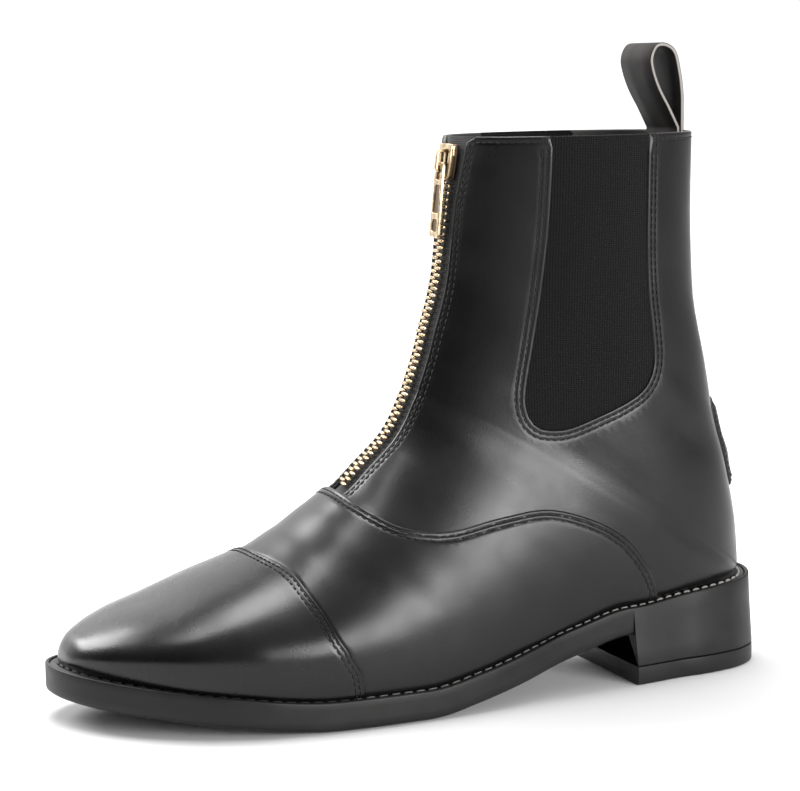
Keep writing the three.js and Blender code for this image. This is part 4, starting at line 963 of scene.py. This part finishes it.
rings = []
for k in range(5):  # rounded lower edge
    out, rise = math.sin(math.pi / 8 * k), 1 - math.cos(math.pi / 8 * k)
    inset = np.where(is_heel, HEEL_ROUND * (1 - out) - flare, BEVEL_WIDTH * (1 - out))
    rings.append(ring(turn, inset, lambda run, rise=rise: np.where(
        is_heel, band_top + HEEL_ROUND * rise, tread(run) + (underside(run) - tread(run)) * rise)))
for k in range(1, 4):
    share = k / 4
    rings.append(ring(turn, -flare * (1 - share) ** 1.2, lambda run, share=share: (
        np.where(is_heel, band_top + HEEL_ROUND, underside(run)) * (1 - share)
        + (rim_top(run) - RIM_ROUND) * share)))
for k in range(4):
    a = math.pi / 6 * k
    rings.append(ring(turn, RIM_ROUND * (1 - math.cos(a)), lambda run, a=a: (
        rim_top(run) - RIM_ROUND * (1 - math.sin(a)))))
rings.append(ring(turn, RIM_WIDTH - 0.3, rim_top))
rings.append(ring(turn, RIM_WIDTH, lambda run: rim_top(run) - 0.3))
rings.append(ring(turn, RIM_WIDTH + 0.1, channel_floor))
outsole = ring_stack("boot_outsole", rings, [RUBBER, SHADED_TREAD], sharp=38)
finished(outsole, "sole_rubber", "outsole")

heel_turn, heel_flare = turn[is_heel], flare[is_heel]
rings = []
for z, inset in ((0, 1.2), (0.1, 0.7), (0.45, 0.25), (1.1, 0), (TOP_LIFT - 0.5, 0), (TOP_LIFT - 0.2, 0.08),
                 (TOP_LIFT - 0.03, 0.3), (TOP_LIFT, 0.6)):
    rings.append(ring(heel_turn, inset - heel_flare, lambda run, z=z: np.full(np.shape(run), float(z))))
finished(ring_stack("boot_heel_top_lift", rings, [RUBBER, SHADED_TREAD]), "sole_rubber", "heel_top_lift")

welt_turn = np.linspace(0, 1, 181)
inner = ledge_at(run_of(welt_turn)) + WALL - GAP
rings = []
for share, rise in ((0, -2.1), (0, -0.9), (0.08, -0.45), (0.22, -0.3), (0.40, -0.62), (0.55, -0.62),
                    (0.72, -0.3), (0.9, -0.3), (1, -0.6), (1, -2.1)):
    inset = RIM_WIDTH + 0.15 + (inner - RIM_WIDTH - 0.15) * share
    rings.append(ring(welt_turn, inset, lambda run, rise=rise: rim_top(run) + rise))
finished(ring_stack("boot_welt", rings, [WELT], closed=False), "welt", "welt")

welt_stitches = Stitches()
for side in (1, -1):
    fine = np.linspace(0, 1, 2400)
    inset = RIM_WIDTH + 0.15 + (ledge_at(run_of(fine)) + WALL - GAP - RIM_WIDTH - 0.15) * 0.47
    x, run = edge_point(fine, side, inset)
    line = np.stack([x, SOLE / 2 - run, rim_top(run) - 0.35], -1) + PLACE
    total, at = lengths_along(line), 1.5
    while at < total[-1] - 1:
        here, ahead = (spot_at(at + step, total, line) for step in (0, 0.5))
        front = smoothstep(SOLE / 2 - here[1], 90, 150)
        pitch = 4.4 + 0.8 * float(front)
        welt_stitches.add(here, ahead - here, np.array([0, 0, 1.0]), pitch * 0.74, 0.55)
        at += pitch
welt_stitches.piece("boot_welt_stitches", WELT_THREAD, "welt")

insole_turn = np.linspace(0, 1, 121)
seat_inset = ledge_at(run_of(insole_turn)) + WALL + 4 * GAP
rings = []
for extra, rise in ((0, 0.3), (0, 2.6), (0.3, 3.1), (0.9, 3.4), (2.2, 3.5)):
    rings.append(ring(insole_turn, seat_inset + extra, lambda run, rise=rise: channel_floor(run) + rise))
finished(ring_stack("boot_insole", rings, [LINING]), "lining", "insole")


# Zip: tape, teeth, slider and pull tab
tape_region = np.minimum(-slot_field(TAPE_MARGIN, square=True), RIM + 1e-3)
tape_rows = slice(int(np.searchsorted(S, THROAT - 1.5)), None)
tape = panel("boot_zip_tape", tape_region, [0.0, 0.4], -WALL - GAP + 0.05, -WALL - GAP - TAPE,
             [TAPE_CLOTH] * 3, tape_rows)
finished(tape, "zip_tape", "zip_tape")

CHAIN_LIFT = 2 * GAP - WALL
SLIDER_MIDDLE = ZIP_LENGTH - SLIDER_LENGTH / 2 - 3


def zip_frame(length, lift):
    """Origin, across, along and outward directions on the zip at a length up it."""
    station = station_at(length)
    spots = []
    for s in (station - 0.02, station, station + 0.02):
        run, z = lifted(ridge_point, np.array(min(s, COLLAR)), lift, 0, 1)
        x = section["ridgeX"](np.array(s)) * BALL
        spots.append(np.array([float(x), SOLE / 2 - float(run), float(z)]) + PLACE)
    along = spots[2] - spots[0]
    along /= np.linalg.norm(along)
    across = np.array([1.0, 0, 0])
    across -= along * along[0]
    across /= np.linalg.norm(across)
    return spots[1], across, along, np.cross(across, along)


def block(size, bevel, segments=2, taper=1.0):
    """Points and faces of a rounded block centred on its own origin."""
    shape = bmesh.new()
    bmesh.ops.create_cube(shape, size=1)
    for v in shape.verts:
        narrow = taper if v.co.x > 0 else 1.0
        v.co = Vector((v.co.x * size[0], v.co.y * size[1] * narrow, v.co.z * size[2]))
    bmesh.ops.bevel(
        shape, geom=list(shape.edges), offset=bevel, segments=segments, profile=0.5, affect="EDGES")
    points = np.array([v.co[:] for v in shape.verts])
    shape.verts.index_update()
    faces = [[v.index for v in f.verts] for f in shape.faces]
    shape.free()
    return points, faces


def gathered(name, parts, materials, sharp=50):
    points, faces, groups = [], [], []
    start = 0
    for spots, polys, *group in parts:
        points.append(spots)
        faces += [[v + start for v in f] for f in polys]
        groups += (group or [0]) * len(polys)
        start += len(spots)
    return mesh_object(name, np.concatenate(points), faces, materials, groups, sharp=sharp)


tooth, tooth_faces = block((4.5, 1.3, CHAIN_HEIGHT - 0.5), 0.3, 2, 0.86)
teeth = []
steps = int((SLIDER_MIDDLE - SLIDER_LENGTH / 2 - GAP - 2.5 * PITCH) / (PITCH / 2))
for i in range(steps + 1):
    length = (2.5 + i / 2) * PITCH
    origin, across_dir, along, out = zip_frame(length, CHAIN_LIFT + CHAIN_HEIGHT / 2 - 0.1)
    hand = 1 if i % 2 else -1
    spots = origin + np.outer(hand * (tooth[:, 0] - 1.75), across_dir) + np.outer(
        tooth[:, 1], along) + np.outer(tooth[:, 2], out)
    polys = tooth_faces if hand > 0 else [f[::-1] for f in tooth_faces]
    teeth.append((spots, polys))
finished(gathered("boot_zip_teeth", teeth, [BRASS]), "brass", "zip_chain")


def plate(outlines, near, thickness, bevel, steps=2):
    """A flat shape with holes in x and z, with rounded edges, thick towards -y."""
    line = bpy.data.curves.new("plate", "CURVE")
    line.dimensions, line.fill_mode = "2D", "BOTH"
    line.extrude = thickness / 2 - bevel
    line.bevel_depth, line.bevel_resolution, line.offset = bevel, steps, -bevel
    for points in outlines:
        spline = line.splines.new("POLY")
        spline.points.add(len(points) - 1)
        for point, (x, z) in zip(spline.points, points):
            point.co = (x, z, 0, 1)
        spline.use_cyclic_u = True
    holder = bpy.data.objects.new("plate", line)
    bpy.context.scene.collection.objects.link(holder)
    mesh = bpy.data.meshes.new_from_object(holder.evaluated_get(bpy.context.evaluated_depsgraph_get()))
    spots = np.array([v.co[:] for v in mesh.vertices])
    spots = np.stack([spots[:, 0], -near - thickness / 2 - spots[:, 2], spots[:, 1]], -1)
    polys = [list(p.vertices) for p in mesh.polygons]
    bpy.data.objects.remove(holder)
    bpy.data.meshes.remove(mesh)
    return spots, polys


def rounded_line(points, radius, steps=4):
    out = []
    for i, point in enumerate(points):
        p = np.array(point, float)
        before, after = np.array(points[i - 1], float), np.array(points[(i + 1) % len(points)], float)
        a = p + (before - p) * radius / np.linalg.norm(before - p)
        b = p + (after - p) * radius / np.linalg.norm(after - p)
        for k in range(steps + 1):
            t = k / steps
            out.append(tuple(a * (1 - t) ** 2 + 2 * p * t * (1 - t) + b * t * t))
    return out


def turned(part, angle, offset):
    spots, *rest = part
    c, s = math.cos(angle), math.sin(angle)
    matrix = np.array([[1, 0, 0], [0, c, -s], [0, s, c]])
    return spots @ matrix.T + offset, *rest


lower_run, lower_z = ridge_point(station_at(SLIDER_MIDDLE - SLIDER_LENGTH / 2))
upper_run, upper_z = ridge_point(station_at(SLIDER_MIDDLE + SLIDER_LENGTH / 2))
lean = -math.atan2(float(lower_run - upper_run), float(upper_z - lower_z))
slider_at = zip_frame(SLIDER_MIDDLE, CHAIN_LIFT)[0]
half, top, foot = SLIDER_WIDTH / 2, SLIDER_LENGTH / 2, 4.8


def shield(foot, low, side, high):
    """The slider's outline, narrowing to its foot."""
    right = [(foot, low), (side, top * 0.3), (side, high)]
    return right + [(-x, z) for x, z in reversed(right)]


body = shield(foot, -top, half, top)
front = [rounded_line([(x * 0.97, z) for x, z in body], 1.2),
         rounded_line(shield(2.4, -top + 2.6, half - 2.2, top - 2.2), 0.8)]
parts = [(*plate([rounded_line(body, 1.2)], 0, 1.0, 0.2), 1), plate(front, 2.0, 1.2, 0.3, 3),
         (*plate([rounded_line([(x * 0.9, z * 0.9) for x, z in body], 1.0)], 0.9, 1.5, 0.1), 1)]
for hand in (1, -1):
    wall_line = [(half - 1.1, top * 0.2), (half - 0.1, top * 0.35), (half - 0.1, top * 0.9),
                 (half - 1.1, top * 0.9)]
    wall_line = [(hand * x, z) for x, z in wall_line]
    parts.append(plate([rounded_line(wall_line[::hand], 0.3)], 0.8, 1.4, 0.15))


def arch(reach, foot, rise, corner, steps):
    """The bridge's outline: two legs and a flat top with rounded corners."""
    left = [(-reach, foot)]
    for a in np.linspace(0, math.pi / 2, steps):
        left.append((-reach + corner * (1 - math.cos(a)), rise - corner + corner * math.sin(a)))
    return left + [(-x, z) for x, z in reversed(left)]


arch_out = arch(BRIDGE_LENGTH / 2, -0.6, BRIDGE_RISE, 1.6, 7)
arch_in = arch(BRIDGE_LENGTH / 2 - BRIDGE_BAR, -0.1, BRIDGE_RISE - BRIDGE_BAR, 0.7, 5)
bridge, bridge_faces = plate([arch_out, arch_in[::-1]], -BRIDGE_WIDTH / 2, BRIDGE_WIDTH, 0.3)
bridge = np.stack([bridge[:, 1], -bridge[:, 2] - SLIDER_THICKNESS, bridge[:, 0]], -1)
parts.append((bridge, bridge_faces))
slider = gathered("boot_zip_slider", [turned(p, lean, slider_at) for p in parts], [BRASS, DARK_BRASS])
finished(slider, "brass", "zip_slider")

pivot_out = SLIDER_THICKNESS + (BRIDGE_RISE - BRIDGE_BAR) / 2
tab_lean = math.asin((pivot_out - (CHAIN_HEIGHT + 4 * GAP + TAB_THICKNESS / 2)) / TAB_LENGTH)
pivot = turned((np.array([[0, -pivot_out, -1.0]]), []), lean, slider_at)[0][0]
half, bar = TAB_WIDTH / 2, TAB_THICKNESS / 2
neck, eye, low = half * 0.86, BRIDGE_WIDTH / 2 + 2 * GAP, -bar - TAB_WINDOW


def tapered(foot, rise, head, high, radius):
    """A rounded four-sided outline; rise is from the tab's far end."""
    z = rise - TAB_LENGTH
    return rounded_line([(-foot, z), (foot, z), (head, high), (-head, high)], radius)


window = rounded_line([(-eye, -bar), (-eye, low), (eye, low), (eye, -bar)], 0.5)
outlines = [tapered(half, 0, neck, bar, 1.6), window, tapered(half - 1.5, 9.5, neck - 1.4, low - 2.0, 0.9),
            tapered(half - 1.9, 2.2, half - 1.9, 7.2 - TAB_LENGTH, 1.2)]
face = plate(outlines, -bar, TAB_THICKNESS, 0.28, 3)
back = plate([tapered(half - 0.6, 0.7, neck - 0.6, low - 0.9, 0.8)], -bar + 0.35, 0.55, 0.1)
tab_parts = [turned(turned(p, tab_lean, np.zeros(3)), lean, pivot) for p in (face, (*back, 1))]
pull_tab = gathered("zip_pull_tab_detail", tab_parts, [BRASS, DARK_BRASS])
finished(pull_tab, "brass", "zip_pull_tab", body="pull_tab")

# Pull loop sewn inside the back of the collar
tail_foot = SHAFT_HEIGHT - LOOP_TAIL
near_collar = np.arange(COLLAR - 2, COLLAR + 0.01, 0.25)
stations, angles = np.meshgrid(near_collar, np.arange(0, 0.9, 0.01), indexing="ij")
bx, brun, bz = bare_point(stations, math.pi - angles, -WALL)
seat_run = brun[(np.abs(bx - LOOP_WIDTH / 2) < 0.8) & (bz > tail_foot)].max()
loop_foot = seat_run + 1.5 * GAP + STRAP
rows = [(0.066, LOOP_ROWS[0][1])] + LOOP_ROWS[1:-1] + [(-0.066, LOOP_ROWS[-1][1])]
middle = smooth([(loop_foot + a * LOOP_DEPTH, SHAFT_HEIGHT + up * LOOP_HEIGHT) for a, up in rows], 90)
leg = np.linspace(tail_foot, SHAFT_HEIGHT, 8)
front_leg, back_leg = [(loop_foot + 0.88, z) for z in leg], [(loop_foot - 0.88, z) for z in leg[::-1]]
path = np.concatenate([front_leg, middle, back_leg])
ahead = np.gradient(path, axis=0)
ahead /= np.linalg.norm(ahead, axis=1)[:, None]
sideways = np.stack([ahead[:, 1], -ahead[:, 0]], -1)
h, t = LOOP_WIDTH / 2, STRAP / 2
profile = [(0.3 - h, t), (-h / 3, t), (h / 3, t), (h - 0.3, t), (h, t * 0.55), (h, -t * 0.55)]
profile += [(-x, -off) for x, off in profile]
points, faces, groups = [], [], []
for p, side_dir in zip(path, sideways):
    for x, off in profile:
        points.append(np.array([x, SOLE / 2 - (p[0] + side_dir[0] * off), p[1] + side_dir[1] * off]) + PLACE)
n = len(profile)
for k in range(len(path) - 1):
    for m in range(n):
        faces.append([k * n + m, k * n + (m + 1) % n, (k + 1) * n + (m + 1) % n, (k + 1) * n + m])
        groups.append(1 if m in (4, 10) else 0)
faces += [list(range(n))[::-1], [(len(path) - 1) * n + m for m in range(n)]]
groups += [1, 1]
loop = mesh_object("boot_pull_loop", points, faces, [STRAP_CLOTH, STRAP_EDGE], groups, sharp=60)
finished(loop, "webbing", "pull_loop")

# Plain studio: a pale floor that sweeps up far behind, broad soft lights, and the camera
points = []
sweep = [(8.0, 0.0), (-1.6, 0.0)]
sweep += [(-1.6 - 0.9 * math.sin(a), 0.9 * (1 - math.cos(a))) for a in np.linspace(0.15, math.pi / 2, 9)]
sweep += [(-2.5, 3.2)]
for x, z in sweep:
    points += [(x, -8.0, z), (x, 8.0, z)]
faces = [[k, k + 1, k + 3, k + 2] for k in range(0, 2 * len(sweep) - 2, 2)]
FLOOR = material("floor", (0.7, 0.7, 0.7), 0.9, Specular_IOR_Level=0.1)
floor = mesh_object("floor", np.array(points) / MM, faces, [FLOOR], sharp=180)

# The room is grey above and behind, and darker ahead of the toe
world = bpy.data.worlds.new("studio")
world.use_nodes = True
sky, join = world.node_tree.nodes["Background"], world.node_tree.links.new
split, total = node(world, "ShaderNodeSeparateXYZ"), node(world, "ShaderNodeMath")
join(node(world, "ShaderNodeTexCoord").outputs["Generated"], split.inputs["Vector"])
join(spread(world, split.outputs["Y"], -0.85, 0.05, 0.04, 0.46), total.inputs[0])
join(spread(world, split.outputs["Z"], 0.5, 0.9, 0.0, 0.2), total.inputs[1])
join(total.outputs["Value"], sky.inputs["Strength"])
sky.inputs["Color"].default_value = (1, 1, 1, 1)
bpy.context.scene.world = world


def softbox(name, place, aim, width, tall, power):
    light = bpy.data.lights.new(name, "AREA")
    light.shape, light.size, light.size_y, light.energy = "RECTANGLE", width, tall, power
    lamp = bpy.data.objects.new(name, light)
    lamp.location = place
    lamp.rotation_euler = (Vector(aim) - Vector(place)).to_track_quat("-Z", "Y").to_euler()
    bpy.context.scene.collection.objects.link(lamp)


softbox("side", (1.38, 0.52, 0.42), (0, 0, 0.1), 1.0, 0.6, 25)
softbox("rear_left", (-1.08, -0.84, 0.95), (0, -0.05, 0.08), 0.75, 0.7, 20)
softbox("ceiling", (0.0, 0.2, 2.0), (0, 0, 0.05), 1.6, 1.6, 2.5)
softbox("backdrop", (-0.8, 0.0, 2.3), (-2.5, 0, 1.4), 0.9, 3.6, 120)

camera_data = bpy.data.cameras.new("camera")
camera_data.sensor_width, camera_data.lens = 36.0, 107.88
camera_data.shift_x, camera_data.shift_y = -0.0144, 0.0581
camera_data.clip_start, camera_data.clip_end = 0.05, 50.0
camera = bpy.data.objects.new("camera", camera_data)
bpy.context.scene.collection.objects.link(camera)
right, up, back = (0.3767, 0.9262, -0.0159), (-0.1381, 0.0731, 0.9877), (0.916, -0.3698, 0.1554)
spot = (0.87088, -0.35332, 0.24789)
camera.matrix_world = Matrix([[right[k], up[k], back[k], spot[k]] for k in range(3)] + [[0, 0, 0, 1]])
bpy.context.scene.camera = camera
bpy.context.scene.view_settings.view_transform = "Standard"
